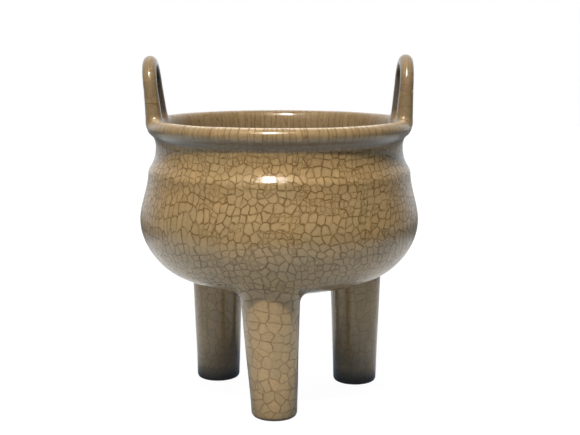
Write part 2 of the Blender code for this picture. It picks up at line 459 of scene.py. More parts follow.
@dataclass
class TurnedBowl:
    """The hollow bowl, from its underside over the rolled rim to its floor."""

    belly_radius: float
    leg_clearance: float = LEG_CLEARANCE
    underside_to_turn: float = 0.0108
    turn_to_belly: float = 0.0201
    belly_to_shoulder: float = 0.0209
    shoulder_to_neck: float = 0.0116
    neck_to_undercut: float = 0.0054
    undercut_to_lip: float = 0.0033
    lip_to_crest: float = 0.0033
    turn_step: float = 0.0098
    neck_radius: float = 0.0547
    shoulder_step: float = 0.0035
    lip_overhang: float = 0.0038
    undercut_step: float = 0.0018
    crest_inset: float = 0.0030
    mouth_edge: float = 0.0034
    wall: float = 0.0040
    floor: float = 0.0045
    shoulder_slope: float = 0.05
    turn_angle: float = math.radians(42)
    undercut_angle: float = math.radians(40)
    crest_round: float = 0.40            # these say how far each curve keeps its direction
    lip_round_above: float = 0.50
    lip_round_below: float = 0.39
    undercut_round_above: float = 0.20
    undercut_round_below: float = 0.19
    mouth_round: float = 0.88
    neck_round_above: float = 0.56
    neck_round_below: float = 0.65
    shoulder_round_above: float = 0.25
    shoulder_round_below: float = 0.36
    belly_round_above: float = 0.32
    belly_round_below: float = 0.48
    turn_round_above: float = 0.21
    turn_round_below: float = 0.98
    underside_flatness: float = 0.52
    arc_steps: int = 40
    sides: int = 160
    rings: int = 240

    def __post_init__(self) -> None:
        """Works out the heights and the outline that follow from the sizes."""
        self.turn_z = self.leg_clearance + self.underside_to_turn
        self.belly_z = self.turn_z + self.turn_to_belly
        self.shoulder_z = self.belly_z + self.belly_to_shoulder
        self.neck_z = self.shoulder_z + self.shoulder_to_neck
        self.undercut_z = self.neck_z + self.neck_to_undercut
        self.lip_z = self.undercut_z + self.undercut_to_lip
        self.crest_z = self.lip_z + self.lip_to_crest
        self.shoulder_radius = self.neck_radius + self.shoulder_step
        self.lip_radius = self.neck_radius + self.lip_overhang
        self.crest_radius = self.lip_radius - self.crest_inset
        outer = self._outer()
        self.outline = np.vstack([outer[::-1], self._inner()[1:]])
        steps = np.linalg.norm(np.diff(self.outline, axis=0), axis=1)
        self.runs = np.concatenate([[0.0], np.cumsum(steps)])
        self.crest_run = self.runs[len(outer) - 1]
        along = np.gradient(self.outline, self.runs, axis=0)
        along[0], along[-1] = (1.0, 0.0), (-1.0, 0.0)
        along /= lengths(along)[:, None]
        self.outwards = np.column_stack([along[:, 1], -along[:, 0]])
        self.tree = KDTree(len(self.outline))
        for index, (radius, height) in enumerate(self.outline):
            self.tree.insert((radius, height, 0.0), index)
        self.tree.balance()

    def _side(self, inset: float) -> np.ndarray:
        """Draws the outline from the shoulder's edge down to the axis.

        Args:
            inset: How far it is moved in from the outside.

        Returns:
            Its points as radius and height.
        """
        inward, down = math.cos(self.turn_angle), math.sin(self.turn_angle)
        shoulder = (self.shoulder_radius - inset, self.shoulder_z)
        belly = (self.belly_radius - inset, self.belly_z)
        turn = (self.belly_radius - self.turn_step - inset * down, self.turn_z + inset * inward)
        bottom = (0.0, self.leg_clearance + inset / self.wall * self.floor)
        drop = self.shoulder_round_below * self.belly_to_shoulder
        run_in = self.turn_round_above * self.turn_to_belly
        run_out = self.turn_round_below * self.underside_to_turn
        return np.vstack([
            arc(shoulder, (shoulder[0] + self.shoulder_slope * drop, self.shoulder_z - drop),
                (belly[0], self.belly_z + self.belly_round_above * self.belly_to_shoulder), belly,
                self.arc_steps),
            arc(belly, (belly[0], self.belly_z - self.belly_round_below * (self.belly_z - turn[1])),
                (turn[0] + run_in * inward, turn[1] + run_in * down), turn, self.arc_steps),
            arc(turn, (turn[0] - run_out * inward, turn[1] - run_out * down),
                (self.underside_flatness * turn[0], bottom[1]), bottom, self.arc_steps),
            [bottom]])

    def _neck(self, inset: float) -> np.ndarray:
        """Draws the outline from the neck down to the shoulder's edge.

        Args:
            inset: How far it is moved in from the outside.

        Returns:
            Its points as radius and height, without the last one.
        """
        rise = self.shoulder_round_above * self.shoulder_to_neck
        shoulder = (self.shoulder_radius - inset, self.shoulder_z)
        return arc((self.neck_radius - inset, self.neck_z),
                   (self.neck_radius - inset, self.neck_z - self.neck_round_below * self.shoulder_to_neck),
                   (shoulder[0] - self.shoulder_slope * rise, self.shoulder_z + rise),
                   shoulder, self.arc_steps)

    def _outer(self) -> np.ndarray:
        """Draws the outside, from the rim's top down to the axis.

        Returns:
            Its points as radius and height.
        """
        crest = (self.crest_radius, self.crest_z)
        lip = (self.lip_radius, self.lip_z)
        neck = (self.neck_radius, self.neck_z)
        under = (self.lip_radius - self.undercut_step, self.undercut_z)
        inward, down = math.cos(self.undercut_angle), math.sin(self.undercut_angle)
        run_in = self.undercut_round_above * self.undercut_to_lip
        run_out = self.undercut_round_below * self.neck_to_undercut
        return np.vstack([
            arc(crest, (self.crest_radius + self.crest_round * self.crest_inset, self.crest_z),
                (self.lip_radius, self.lip_z + self.lip_round_above * self.lip_to_crest), lip,
                self.arc_steps),
            arc(lip, (self.lip_radius, self.lip_z - self.lip_round_below * self.undercut_to_lip),
                (under[0] + run_in * inward, under[1] + run_in * down), under, self.arc_steps),
            arc(under, (under[0] - run_out * inward, under[1] - run_out * down),
                (self.neck_radius, self.neck_z + self.neck_round_above * self.neck_to_undercut), neck,
                self.arc_steps),
            self._neck(0.0), self._side(0.0)])

    def _inner(self) -> np.ndarray:
        """Draws the inside, from the rim's top down to the axis.

        Returns:
            Its points as radius and height.
        """
        rise = self.crest_z - self.neck_z
        mouth = self.neck_radius - self.wall
        return np.vstack([
            arc((self.crest_radius, self.crest_z), (self.crest_radius - self.mouth_edge, self.crest_z),
                (mouth, self.neck_z + self.mouth_round * rise), (mouth, self.neck_z), self.arc_steps),
            self._neck(self.wall), self._side(self.wall)])

    def raw(self, tree: ShapeTree, clay: bpy.types.Material) -> bpy.types.Mesh:
        """Turns the outline about the Z axis."""
        line = np.insert(self.outline, 1, 0.0, axis=1)
        return tree.make("raw_bowl", line, Sides=self.sides, Rings=self.rings, Clay=clay)

    def run_at(self, height: float) -> float:
        """Returns the way along the outline to a height on the outside."""
        outside = self.runs <= self.crest_run
        return float(np.interp(height, self.outline[outside, 1], self.runs[outside]))

    def wall_middle(self, radii: np.ndarray) -> np.ndarray:
        """Returns the height of the middle of the bowl's bottom at each radius."""
        side = self._side(self.wall / 2)[2 * self.arc_steps:][::-1]
        return np.interp(radii, side[:, 0], side[:, 1])

    def skin(self, places: np.ndarray) -> tuple[Skin, np.ndarray]:
        """Measures places against the bowl.

        Args:
            places: Points in space, one row each.

        Returns:
            Distances and directions, and the way along the outline of each place.
        """
        radii = np.maximum(np.hypot(places[:, 0], places[:, 1]), AXIS_GAP)
        flat = np.column_stack([radii, places[:, 2]])
        find = self.tree.find
        nearest = np.array([find((r, z, 0.0))[1] for r, z in flat.tolist()])
        best = np.full(len(places), np.inf)
        depth, run, direction = np.zeros(len(places)), np.zeros(len(places)), np.zeros((len(places), 2))
        for offset in (-1, 0):
            first = np.clip(nearest + offset, 0, len(self.outline) - 2)
            start, end = self.outline[first], self.outline[first + 1]
            reach = end - start
            share = np.clip(((flat - start) * reach).sum(1) / (reach ** 2).sum(1), 0.0, 1.0)[:, None]
            gap = flat - start - share * reach
            outward = (1 - share) * self.outwards[first] + share * self.outwards[first + 1]
            distance = np.hypot(gap[:, 0], gap[:, 1])
            closer = distance < best
            best = np.where(closer, distance, best)
            depth = np.where(closer, (gap * outward).sum(1), depth)
            way = self.runs[first] + share[:, 0] * (self.runs[first + 1] - self.runs[first])
            run = np.where(closer, way, run)
            direction = np.where(closer[:, None], outward, direction)
        around = places[:, :2] / radii[:, None]
        return Skin(depth, np.column_stack([around * direction[:, :1], direction[:, 1]])), run


@dataclass
class Leg:
    """One solid, tapering leg with a flat foot."""

    name: str
    centre: Vector
    hidden: float                # angle of the side away from view, where the pattern meets itself
    foot_radius: float = 0.0099
    top_radius: float = 0.0117   # where it meets the underside
    lean: float = 0.0            # run of the leg's top to -X for each unit of height
    edge_radius: float = 0.0018
    fillet: float = 0.0042
    run_scale: float = 0.78              # under 1 for cells longer than the bowl's
    girth_scale: float = 0.80            # under 1 for cells wider than the bowl's
    crack_show: float = 0.42             # how plainly the cracks show, beside the bowl's
    crack_share: float = 0.10            # share of the cells that are divided
    crack_width: float = 0.78            # width of the cracks, beside the bowl's
    # painted shade that darkens the leg towards its foot
    painted_foot_heights: tuple[float, ...] = (0.0020, 0.0080, 0.0350)
    painted_foot_shades: tuple[float, ...] = (0.70, 0.20, 0.0)     # the painted shade's share at these heights, darker towards the foot
    sides: int = 64
    rings: int = 90

    @property
    def taper(self) -> float:
        """Growth of the radius for each unit of height."""
        return (self.top_radius - self.foot_radius) / LEG_CLEARANCE

    def raw(self, tree: ShapeTree, clay: bpy.types.Material, bowl: TurnedBowl) -> bpy.types.Mesh:
        """Turns the leg, and ends its top halfway through the bowl's wall.

        Args:
            tree: Geometry Nodes that turn an outline.
            clay: Material of the mesh.
            bowl: The bowl that it carries.

        Returns:
            The raw mesh.
        """
        top = bowl.belly_z
        radius = self.foot_radius + self.taper * top
        line = np.array([(0.0, 0.0, top), (radius, 0.0, top), (self.foot_radius, 0.0, self.edge_radius / 2),
                         (self.foot_radius - self.edge_radius / 2, 0.0, 0.0), (0.0, 0.0, 0.0)])
        mesh = tree.make(f"raw_{self.name}", line, Sides=self.sides, Rings=self.rings, Clay=clay,
                         Centre=self.centre, Lean=self.lean)
        places = points_of(mesh)
        limit = bowl.wall_middle(np.hypot(places[:, 0], places[:, 1]))
        places[:, 2] = np.minimum(places[:, 2], limit)
        mesh.vertices.foreach_set("co", places.ravel())
        return mesh

    def _local(self, places: np.ndarray) -> tuple[np.ndarray, np.ndarray]:
        """Measures places from the leg's leaning axis.

        Args:
            places: Points in space, one row each.

        Returns:
            Their offsets from the axis across the leg, and their distances from it.
        """
        offset = places[:, :2] - np.array(self.centre)[:2]
        offset[:, 0] += self.lean * places[:, 2]
        return offset, lengths(offset)

    def skin(self, places: np.ndarray) -> Skin:
        """Measures places against the leg.

        Args:
            places: Points in space, one row each.

        Returns:
            Distances and directions.
        """
        offset, distance = self._local(places)
        around = offset / distance[:, None]
        slope = 1.0 / math.hypot(1.0, self.taper)
        height = places[:, 2]
        beside = (distance - self.foot_radius - self.taper * height) * slope + self.edge_radius
        below = self.edge_radius - height
        sideways = slope * np.column_stack([around, self.lean * around[:, 0] - self.taper])
        down = np.tile((0.0, 0.0, -1.0), (len(places), 1))
        corner = (beside > 0) & (below > 0)
        reach = np.where(corner, np.hypot(beside, below), 1.0)
        depth = np.where(corner, reach, np.maximum(beside, below)) - self.edge_radius
        at_corner = (beside[:, None] * sideways + below[:, None] * down) / reach[:, None]
        plain = np.where((beside > below)[:, None], sideways, down)
        return Skin(depth, np.where(corner[:, None], at_corner, plain))

    def pattern_place(self, places: np.ndarray) -> np.ndarray:
        """Finds places about the leg's axis, turned so that the hidden side is where the pattern closes.

        Args:
            places: Points in space, one row each.

        Returns:
            Across the hidden side, towards it, and the height.
        """
        offset, _ = self._local(places)
        away = np.array([math.cos(self.hidden), math.sin(self.hidden)])
        across = offset @ np.array([-away[1], away[0]])
        return np.column_stack([across, -(offset @ away), places[:, 2]])


@dataclass
class LoopHandle:
    """One upright loop handle, bent from a round bar and set into the rim."""

    name: str
    side: int
    height: float
    lean: float
    bowl: TurnedBowl
    post_spacing: float = 0.0240
    arch_spacing: float = 0.0222
    root_below_lip: float = 0.0004
    foot_bar: float = 0.0037             # radius of the bar at the posts' feet
    top_bar: float = 0.0031
    root_shares: tuple[float, float] = (0.5, 0.9)      # radius of the hidden root, beside the foot's
    fillet: float = 0.0030
    run_scale: float = 0.62              # under 1 for cells longer than the bowl's
    girth_scale: float = 0.30            # under 1 for cells wider than the bowl's
    crack_show: float = 0.38             # how plainly the cracks show, beside the bowl's
    crack_share: float = 0.0             # share of the cells that are divided
    crack_width: float = 0.85            # width of the cracks, beside the bowl's
    shade_edge: float = 0.0015            # width of the edge of the painted shade inside the loop
    shade_start: tuple[float, float] = (0.0010, 0.0040)     # it starts between these heights over the rim
    post_steps: int = 24
    arch_steps: int = 30
    sides: int = 32

    def __post_init__(self) -> None:
        """Works out the bar's centre line and its radius along it."""
        foot, spring_half = self.post_spacing / 2, self.arch_spacing / 2
        spring = self.height - self.top_bar - spring_half
        root = self.bowl.lip_to_crest + self.root_below_lip
        share = np.linspace(0.0, 1.0, self.post_steps + 1)
        turn = np.linspace(0.0, math.pi / 2, self.arch_steps + 1)[1:]
        across = np.concatenate([[foot, foot], foot + (spring_half - foot) * share,
                                 spring_half * np.cos(turn)])
        rise = np.concatenate([[-root, -root / 2], spring * share, spring + spring_half * np.sin(turn)])
        bar = np.concatenate([np.array(self.root_shares) * self.foot_bar,
                              self.foot_bar + (self.top_bar - self.foot_bar) * share,
                              np.full(len(turn), self.top_bar)])
        across = np.concatenate([across, -across[-2::-1]])
        rise = np.concatenate([rise, rise[-2::-1]])
        self.bar = np.concatenate([bar, bar[-2::-1]])
        start = math.sqrt(self.bowl.crest_radius ** 2 - foot ** 2)
        outward = self.side * (start + rise * math.tan(self.lean))
        self.line = np.column_stack([outward, across, self.bowl.crest_z + rise])
        steps = lengths(np.diff(self.line, axis=0))
        self.runs = np.concatenate([[0.0], np.cumsum(steps)])

    def raw(self, tree: ShapeTree, clay: bpy.types.Material) -> bpy.types.Mesh:
        """Sweeps the bar with Geometry Nodes."""
        return tree.make(f"raw_{self.name}", self.line, self.bar, Sides=self.sides, Clay=clay)

    def _nearest(self, places: np.ndarray) -> tuple:
        """Finds the nearest place on the bar's line.

        Args:
            places: Points in space, one row each.

        Returns:
            Offsets from the line, the bar's radius there, the way along, and the line's direction.
        """
        start, reach = self.line[:-1], np.diff(self.line, axis=0)
        square = (reach ** 2).sum(1)
        gap = places[:, None, :] - start[None]
        share = np.clip((gap * reach[None]).sum(2) / square, 0.0, 1.0)
        gap -= share[:, :, None] * reach[None]
        best = (gap ** 2).sum(2).argmin(1)
        rows = np.arange(len(places))
        portion = share[rows, best]
        radius = self.bar[best] + portion * (self.bar[best + 1] - self.bar[best])
        run = self.runs[best] + portion * (self.runs[best + 1] - self.runs[best])
        return gap[rows, best], radius, run, (reach / np.sqrt(square)[:, None])[best]

    def inside(self, places: np.ndarray) -> np.ndarray:
        """Measures how far places face into the loop.

        Args:
            places: Points in space, one row each.

        Returns:
            1 inside the loop and 0 on its outer side and at its root.
        """
        spring = self.height - self.top_bar - self.arch_spacing / 2
        over_rim = places[:, 2] - self.bowl.crest_z
        reach = np.hypot(places[:, 1], np.maximum(over_rim - spring, 0.0))
        edge = self.arch_spacing / 2
        share = np.interp(reach, [edge, edge + self.shade_edge], [1.0, 0.0])
        return share * np.interp(over_rim, self.shade_start, [0.0, 1.0])

    def near(self, places: np.ndarray) -> np.ndarray:
        """Picks the places that are close enough to the handle to matter.

        Args:
            places: Points in space, one row each.

        Returns:
            True for each such place.
        """
        reach = self.foot_bar + 3 * self.fillet
        low, high = self.line.min(0) - reach, self.line.max(0) + reach
        return np.all((places > low) & (places < high), axis=1)

    def skin(self, places: np.ndarray) -> Skin:
        """Measures places against the bar.

        Args:
            places: Points in space, one row each.

        Returns:
            Distances and directions.
        """
        depth = np.full(len(places), FAR_AWAY)
        outward = np.tile((0.0, 0.0, 1.0), (len(places), 1))
        close = self.near(places)
        gap, radius, _, _ = self._nearest(places[close])
        distance = lengths(gap)
        depth[close] = distance - radius
        outward[close] = gap / distance[:, None]
        return Skin(depth, outward)

    def pattern_place(self, places: np.ndarray) -> np.ndarray:
        """Finds places about the bar, turned so that the loop's inside is where the pattern closes.

        Args:
            places: Points in space, one row each.

        Returns:
            Sideways and out of the loop from the bar's line, and the way along it.
        """
        gap, _, run, along = self._nearest(places)
        sideways = np.tile((float(self.side), 0.0, 0.0), (len(places), 1))
        sideways -= along * (sideways * along).sum(1)[:, None]
        sideways /= lengths(sideways)[:, None]
        out_of_loop = np.cross(along, sideways) * self.side
        return np.column_stack([(gap * sideways).sum(1), (gap * out_of_loop).sum(1), run])


@dataclass(frozen=True)
class Swell:
    """One gentle wave of the hand-made surface."""

    wave: tuple[float, float, float]    # turns for each metre along X, Y and Z
    start: float
    height: float


@dataclass(frozen=True)
class LongCells:
    """A place on the wall where the cells are drawn out along the wall's run."""

    around: float                       # way round the bowl from the front, in millimetres
    run: float                          # way along the outline, in millimetres
    spread: float
    reach: float
    strength: float                     # how much of their pace the cells lose along the run
    narrowing: float = 0.0              # how much they gain across it


@dataclass(frozen=True)
class AlongWall:
    """A value that changes in straight steps along the bowl's outline. Lengths in millimetres."""

    below: tuple[tuple[float, float], ...]          # way from the underside's middle, and the value there
    rim: tuple[tuple[float, float], ...]            # way past the rim's top, under 0 outside, and the value
    at_floor: float | None = None                   # the value in the middle of the floor

    def steps(self, bowl: TurnedBowl) -> tuple:
        """Lays the steps out along the outline.

        Args:
            bowl: The bowl.

        Returns:
            Their ways along the bowl's outline, and the values at them.
        """
        crest = bowl.crest_run / MILLIMETRE
        ways = [way for way, _ in self.below] + [crest + past for past, _ in self.rim]
        values = [value for _, value in self.below + self.rim]
        if self.at_floor is not None:
            ways.append(bowl.runs[-1] / MILLIMETRE)
            values.append(self.at_floor)
        return ways, values

    def at(self, run: np.ndarray, bowl: TurnedBowl) -> np.ndarray:
        """Returns the value at each way along the bowl's outline."""
        return np.interp(run, *self.steps(bowl))


@dataclass
class Burner:
    """The whole burner: bowl, legs and handles joined into one skin."""

    bowl: TurnedBowl
    legs: list[Leg]
    handles: list[LoopHandle]
    voxel: float = 0.00108
    settle_rounds: int = 4
    finish_rounds: int = 3
    allowance: float = 0.00008          # the waves only take away from the exact shape, by this much or less
    still_foot: float = 0.008           # the waves fade out below this height
    waves: tuple[Swell, ...] = (
        Swell((21.0, 9.0, 30.0), 0.4, 0.00003),
        Swell((-14.0, 26.0, 17.0), 1.9, 0.00003),
        Swell((33.0, -19.0, -12.0), 3.1, 0.00002))
    long_cells: tuple[LongCells, ...] = (
        LongCells(-44.0, 78.0, 17.0, 11.0, 0.50, 0.20),
        LongCells(-4.0, 58.0, 22.0, 9.0, 0.30),
        LongCells(56.0, 74.0, 14.0, 10.0, 0.35),
        LongCells(118.0, 84.0, 18.0, 12.0, 0.40),
        LongCells(-120.0, 80.0, 15.0, 14.0, 0.35))
    whole_long_cells: float = 0.9       # share of the divided cells that stay whole where cells are long
    pattern_steps: int = 800            # what follows is in millimetres
    pace: AlongWall = AlongWall(
        ((0.0, 1.0),), ((-9.5, 1.0), (-6.5, 0.11), (14.0, 0.11), (22.0, 1.0)), 1.0)
    divided: AlongWall = AlongWall(
        ((0.0, 0.30), (40.0, 0.30), (70.0, 0.42)),
        ((-22.0, 0.52), (-14.0, 0.52), (-6.0, 0.80), (12.0, 0.80)), 0.30)
    crack_show: AlongWall = AlongWall(
        ((60.0, 0.86), (74.0, 1.0)),
        ((-16.0, 1.0), (-12.0, 0.62), (-6.0, 0.62), (-4.0, 0.68), (14.0, 0.68), (20.0, 1.0)))
    crack_width: AlongWall = AlongWall((), ((-6.0, 1.0), (-3.0, 1.3), (14.0, 1.3), (20.0, 1.0)))
    brown: AlongWall = AlongWall(
        (), ((-6.5, 0.0), (-4.5, 0.42), (-1.0, 0.42), (-0.4, 0.0), (0.5, 0.0), (1.9, 0.78)))
    # pale thin glaze on the rim's top, also a painted highlight
    thin: AlongWall = AlongWall((), ((-1.7, 0.0), (-0.9, 1.0), (0.5, 1.0), (1.2, 0.0)))
    underside_end: float = 45.0         # the underside's cracks lie in plan up to here along the outline
    floor_reach: float = 36.0           # the floor's cracks lie in plan over this last stretch of it
    limb_apart: float = 200.0           # keeps the limbs' patterns apart
    limb_blend: float = 3.0             # way over which a limb's look takes over from the bowl's
    pattern_share: float = 0.5          # a limb's share of the look at the joint, for the pattern
    brown_share: float = 0.7            # and for the brown glaze
    side_limit: float = 20.0
    handle_brown: float = 0.85          # the brown glaze's share of the handles' colour
    shade_over_neck: float = 3.1         # painted shade, with glaze pooled in the recess, from this far over the neck's narrowest place
    shade_over_undercut: float = 1.1     # to this far over the lip's undercut
    shade_band_edges: tuple[float, float] = (0.3, 0.8)       # half width of the shaded band's lower and upper edge
    neck_shades: tuple[float, float] = (0.56, 0.86)     # the painted shade's share at the front and aside
    shade_turns: tuple[float, float] = (26.0, 42.0)     # degrees from the front between which it changes
    loop_shade: float = 0.60             # the painted shade's share inside the handles' loops

    def measure(self, places: np.ndarray) -> tuple[Skin, np.ndarray, np.ndarray, np.ndarray]:
        """Measures places against the joined surface.

        Args:
            places: Points in space, one row each.

        Returns:
            The joined skin, the way along the bowl's outline, which limb is nearest, and how much
            nearer it is than the bowl.
        """
        bowl, run = self.bowl.skin(places)
        above = (run > self.bowl.crest_run) | (places[:, 2] > self.bowl.belly_z)
        joined, limb_depths = bowl, []
        for limb in self.legs + self.handles:
            skin = limb.skin(places)
            if isinstance(limb, Leg):
                skin.depth = np.where(above, FAR_AWAY, skin.depth)
            joined = joined.joined(skin, limb.fillet)
            limb_depths.append(skin.depth)
        depths = np.array(limb_depths)
        wave, slope = self._waves(places)
        joined.depth = joined.depth - wave
        joined.outward = joined.outward - slope
        return joined, run, depths.argmin(0), bowl.depth - depths.min(0)

    def _waves(self, places: np.ndarray) -> tuple[np.ndarray, np.ndarray]:
        """Works out the hand-made surface's long, low waves.

        Args:
            places: Points in space, one row each.

        Returns:
            How far the surface stands out, and how that changes from place to place.
        """
        height = np.full(len(places), -self.allowance)
        slope = np.zeros((len(places), 3))
        fade = np.clip(places[:, 2] / self.still_foot, 0.0, 1.0)
        for swell in self.waves:
            wave = 2 * math.pi * np.array(swell.wave)
            phase = places @ wave + swell.start
            height += swell.height * np.sin(phase)
            slope += swell.height * np.cos(phase)[:, None] * wave
        return height * fade, slope * fade[:, None]

    def build(self, clay: bpy.types.Material) -> bpy.types.Object:
        """Makes the finished piece.

        Args:
            clay: The material of the skin.

        Returns:
            The piece, at the origin, with the attributes that its glaze reads.
        """
        turned, bent = ShapeTree(Raw.TURNED), ShapeTree(Raw.BENT)
        raws = [self.bowl.raw(turned, clay)]
        raws += [leg.raw(turned, clay, self.bowl) for leg in self.legs]
        raws += [handle.raw(bent, clay) for handle in self.handles]
        mesh = self._fused(raws)
        places = self._settled(points_of(mesh), mesh)
        mesh.vertices.foreach_set("co", places.ravel())
        self._describe(mesh, places)
        mesh.materials.clear()
        mesh.materials.append(clay)
        piece = bpy.data.objects.new("glazed_burner", mesh)
        bpy.context.scene.collection.objects.link(piece)
        return piece

    def _fused(self, raws: list[bpy.types.Mesh]) -> bpy.types.Mesh:
        """Joins the raw shapes into one closed skin of even squares.

        Args:
            raws: The closed raw shapes, which overlap where they join.

        Returns:
            The skin.
        """
        places, faces, count = [], [], 0
        for raw in raws:
            places += points_of(raw).tolist()
            faces += [[count + index for index in polygon.vertices] for polygon in raw.polygons]
            count += len(raw.vertices)
        mesh = bpy.data.meshes.new("raw_burner")
        mesh.from_pydata(places, [], faces)
        source = bpy.data.objects.new("raw_burner", mesh)
        bpy.context.scene.collection.objects.link(source)
        remesh = source.modifiers.new("One skin", "REMESH")
        remesh.mode = "VOXEL"
        remesh.voxel_size = self.voxel
        return plain_mesh(source)

    def _settled(self, places: np.ndarray, mesh: bpy.types.Mesh) -> np.ndarray:
        """Evens out the squares and lays their corners on the exact surface.

        Args:
            places: The corners, one row each.
            mesh: The skin, for which corners are neighbours.

        Returns:
            The corners' new places.
        """
        pairs = np.empty(len(mesh.edges) * 2, dtype=np.int64)
        mesh.edges.foreach_get("vertices", pairs)
        first, second = pairs.reshape(-1, 2).T
        count = len(places)
        neighbours = np.bincount(first, minlength=count) + np.bincount(second, minlength=count)
        for turn in range(self.settle_rounds + self.finish_rounds):
            if turn < self.settle_rounds:
                total = np.column_stack([
                    np.bincount(first, places[second, axis], count)
                    + np.bincount(second, places[first, axis], count) for axis in range(3)])
                places = (places + total / neighbours[:, None]) / 2
            skin = self.measure(places)[0]
            square = (skin.outward ** 2).sum(1)
            places = places - (skin.depth / square)[:, None] * skin.outward
        places[:, 2] = np.maximum(places[:, 2], 0.0)
        return self._with_crest(places)

    def _with_crest(self, places: np.ndarray) -> np.ndarray:
        """Moves the corners beside the rim's top onto it, so that its edge runs clean.

        Args:
            places: The corners, one row each.

        Returns:
            The corners' new places.
        """
        skin, run = self.bowl.skin(places)
        beside = np.abs(run - self.bowl.crest_run) < self.voxel / 2
        chosen = beside & (np.abs(skin.depth) < 3 * self.allowance)
        radii = np.hypot(places[:, 0], places[:, 1])
        places[chosen, :2] *= (self.bowl.crest_radius / radii[chosen])[:, None]
        places[chosen, 2] = self.bowl.crest_z + skin.depth[chosen]
        return places

    def _describe(self, mesh: bpy.types.Mesh, places: np.ndarray) -> None:
        """Gives the skin its smooth normals and the attributes that the glaze reads.

        Args:
            mesh: The skin.
            places: Its points, one row each, in metres.
        """
        skin, run, limb_index, side = self.measure(places)
        for polygon in mesh.polygons:
            polygon.use_smooth = True
        normals = skin.outward / lengths(skin.outward)[:, None]
        mesh.normals_split_custom_set_from_vertices(normals.tolist())
        self._describe_pattern(mesh, places, run / MILLIMETRE, limb_index, side / MILLIMETRE)
        self._describe_glaze(mesh, places, run / MILLIMETRE, limb_index, side / MILLIMETRE)

    def _describe_pattern(self, mesh: bpy.types.Mesh, places: np.ndarray, run: np.ndarray,
                          limb_index: np.ndarray, side: np.ndarray) -> None:
        """Stores where each place lies in the crack pattern, and what the cracks are like there.

        Args:
            mesh: The skin.
            places: Its points, one row each, in metres.
            run: Way along the bowl's outline, in millimetres.
            limb_index: Which limb is nearest.
            side: How much nearer that limb is than the bowl, in millimetres.
        """
        around = np.arctan2(places[:, 0], -places[:, 1]) * PATTERN_RADIUS
        total = self.bowl.runs[-1] / MILLIMETRE
        fine = np.linspace(0.0, total, self.pattern_steps)
        drawn = np.concatenate([[0.0], np.cumsum(self.pace.at(fine[1:], self.bowl) * np.diff(fine))])
        body_run = np.interp(run, fine, drawn)
        along = self.pace.at(run, self.bowl)
        across, shift = np.ones(len(places)), np.zeros(len(places))
        divided = self.divided.at(run, self.bowl)
        show = self.crack_show.at(run, self.bowl)
        width = self.crack_width.at(run, self.bowl)
        for patch in self.long_cells:
            near = np.exp(-((around - patch.around) / patch.spread) ** 2)
            bend = np.tanh((run - patch.run) / patch.reach)
            body_run -= patch.strength * patch.reach * near * bend
            along -= patch.strength * near * (1.0 - bend ** 2)
            divided -= self.whole_long_cells * divided * near * (1.0 - bend ** 2)
            turn = np.tanh((around - patch.around) / patch.spread)
            shift += patch.narrowing * patch.spread * turn * (1.0 - bend ** 2)
            across += patch.narrowing * (1.0 - turn ** 2) * (1.0 - bend ** 2)
        outside = run < self.bowl.crest_run / MILLIMETRE
        flat = np.where(outside, self.underside_end - run, run - total + self.floor_reach)
        limb_place, girth = np.zeros((len(places), 3)), np.zeros(len(places))
        for index, limb in enumerate(self.legs + self.handles):
            chosen = limb_index == index
            local = limb.pattern_place(places[chosen]) / MILLIMETRE
            local[:, 2] = local[:, 2] * limb.run_scale + self.limb_apart * (index + 1)
            limb_place[chosen] = local
            bar = limb.foot_radius if isinstance(limb, Leg) else limb.top_bar
            girth[chosen] = bar / MILLIMETRE * limb.girth_scale
            share = np.clip(side[chosen] / self.limb_blend + self.pattern_share, 0.0, 1.0)
            looks = ((divided, limb.crack_share), (show, limb.crack_show), (width, limb.crack_width),
                     (across, limb.girth_scale), (along, limb.run_scale))
            for values, own in looks:
                values[chosen] += share * (own - values[chosen])
        self._store(mesh, Region.RUN, body_run)
        self._store(mesh, Region.FLAT, flat)
        self._store(mesh, Region.GIRTH, girth)
        self._store(mesh, Region.SIDE, np.clip(side, -self.side_limit, self.side_limit))
        self._store(mesh, Region.LIMB, limb_place)
        self._store(mesh, Region.HABIT, np.column_stack([divided, show, width]))
        self._store(mesh, Region.PACE, np.column_stack([across, along, shift]))

    def _describe_glaze(self, mesh: bpy.types.Mesh, places: np.ndarray, run: np.ndarray,
                        limb_index: np.ndarray, side: np.ndarray) -> None:
        """Stores the painted shade, and where the glaze lies brown or thin with a painted highlight.

        Args:
            mesh: The skin.
            places: Its points, one row each, in metres.
            run: Way along the bowl's outline, in millimetres.
            limb_index: Which limb is nearest.
            side: How much nearer that limb is than the bowl, in millimetres.
        """
        take_over = np.clip(side / self.limb_blend + self.brown_share, 0.0, 1.0)
        on_handle = (limb_index >= len(self.legs)) * take_over
        # painted shade under the lip, where its shadow falls on the neck, with glaze pooled in the recess
        low = self.bowl.run_at(self.bowl.neck_z + self.shade_over_neck * MILLIMETRE) / MILLIMETRE
        high = self.bowl.run_at(self.bowl.undercut_z + self.shade_over_undercut * MILLIMETRE) / MILLIMETRE
        low_edge, high_edge = self.shade_band_edges
        band = [low - low_edge, low + low_edge, high - high_edge, high + high_edge]
        painted_shade_share = np.interp(run, band, [0.0, 1.0, 1.0, 0.0])
        from_front = np.degrees(np.arctan2(np.abs(places[:, 0]), -places[:, 1]))
        painted_shade_share *= np.interp(from_front, self.shade_turns, self.neck_shades)
        # painted shade towards the foot of each leg
        for index, leg in enumerate(self.legs):
            foot = (limb_index == index) * np.interp(places[:, 2], leg.painted_foot_heights, leg.painted_foot_shades)
            painted_shade_share = np.maximum(painted_shade_share, foot)
        # painted shade inside the handles' loops
        for index, handle in enumerate(self.handles, start=len(self.legs)):
            inside = (limb_index == index) * on_handle * handle.inside(places)
            painted_shade_share = np.maximum(painted_shade_share, self.loop_shade * inside)
        brown = self.brown.at(run, self.bowl)
        brown += on_handle * (self.handle_brown - brown)
        # pale thin glaze on the rim's top, also a painted highlight
        thin = self.thin.at(run, self.bowl) * (1.0 - on_handle)
        self._store(mesh, Region.DEPTH, np.column_stack([painted_shade_share, brown, thin]))

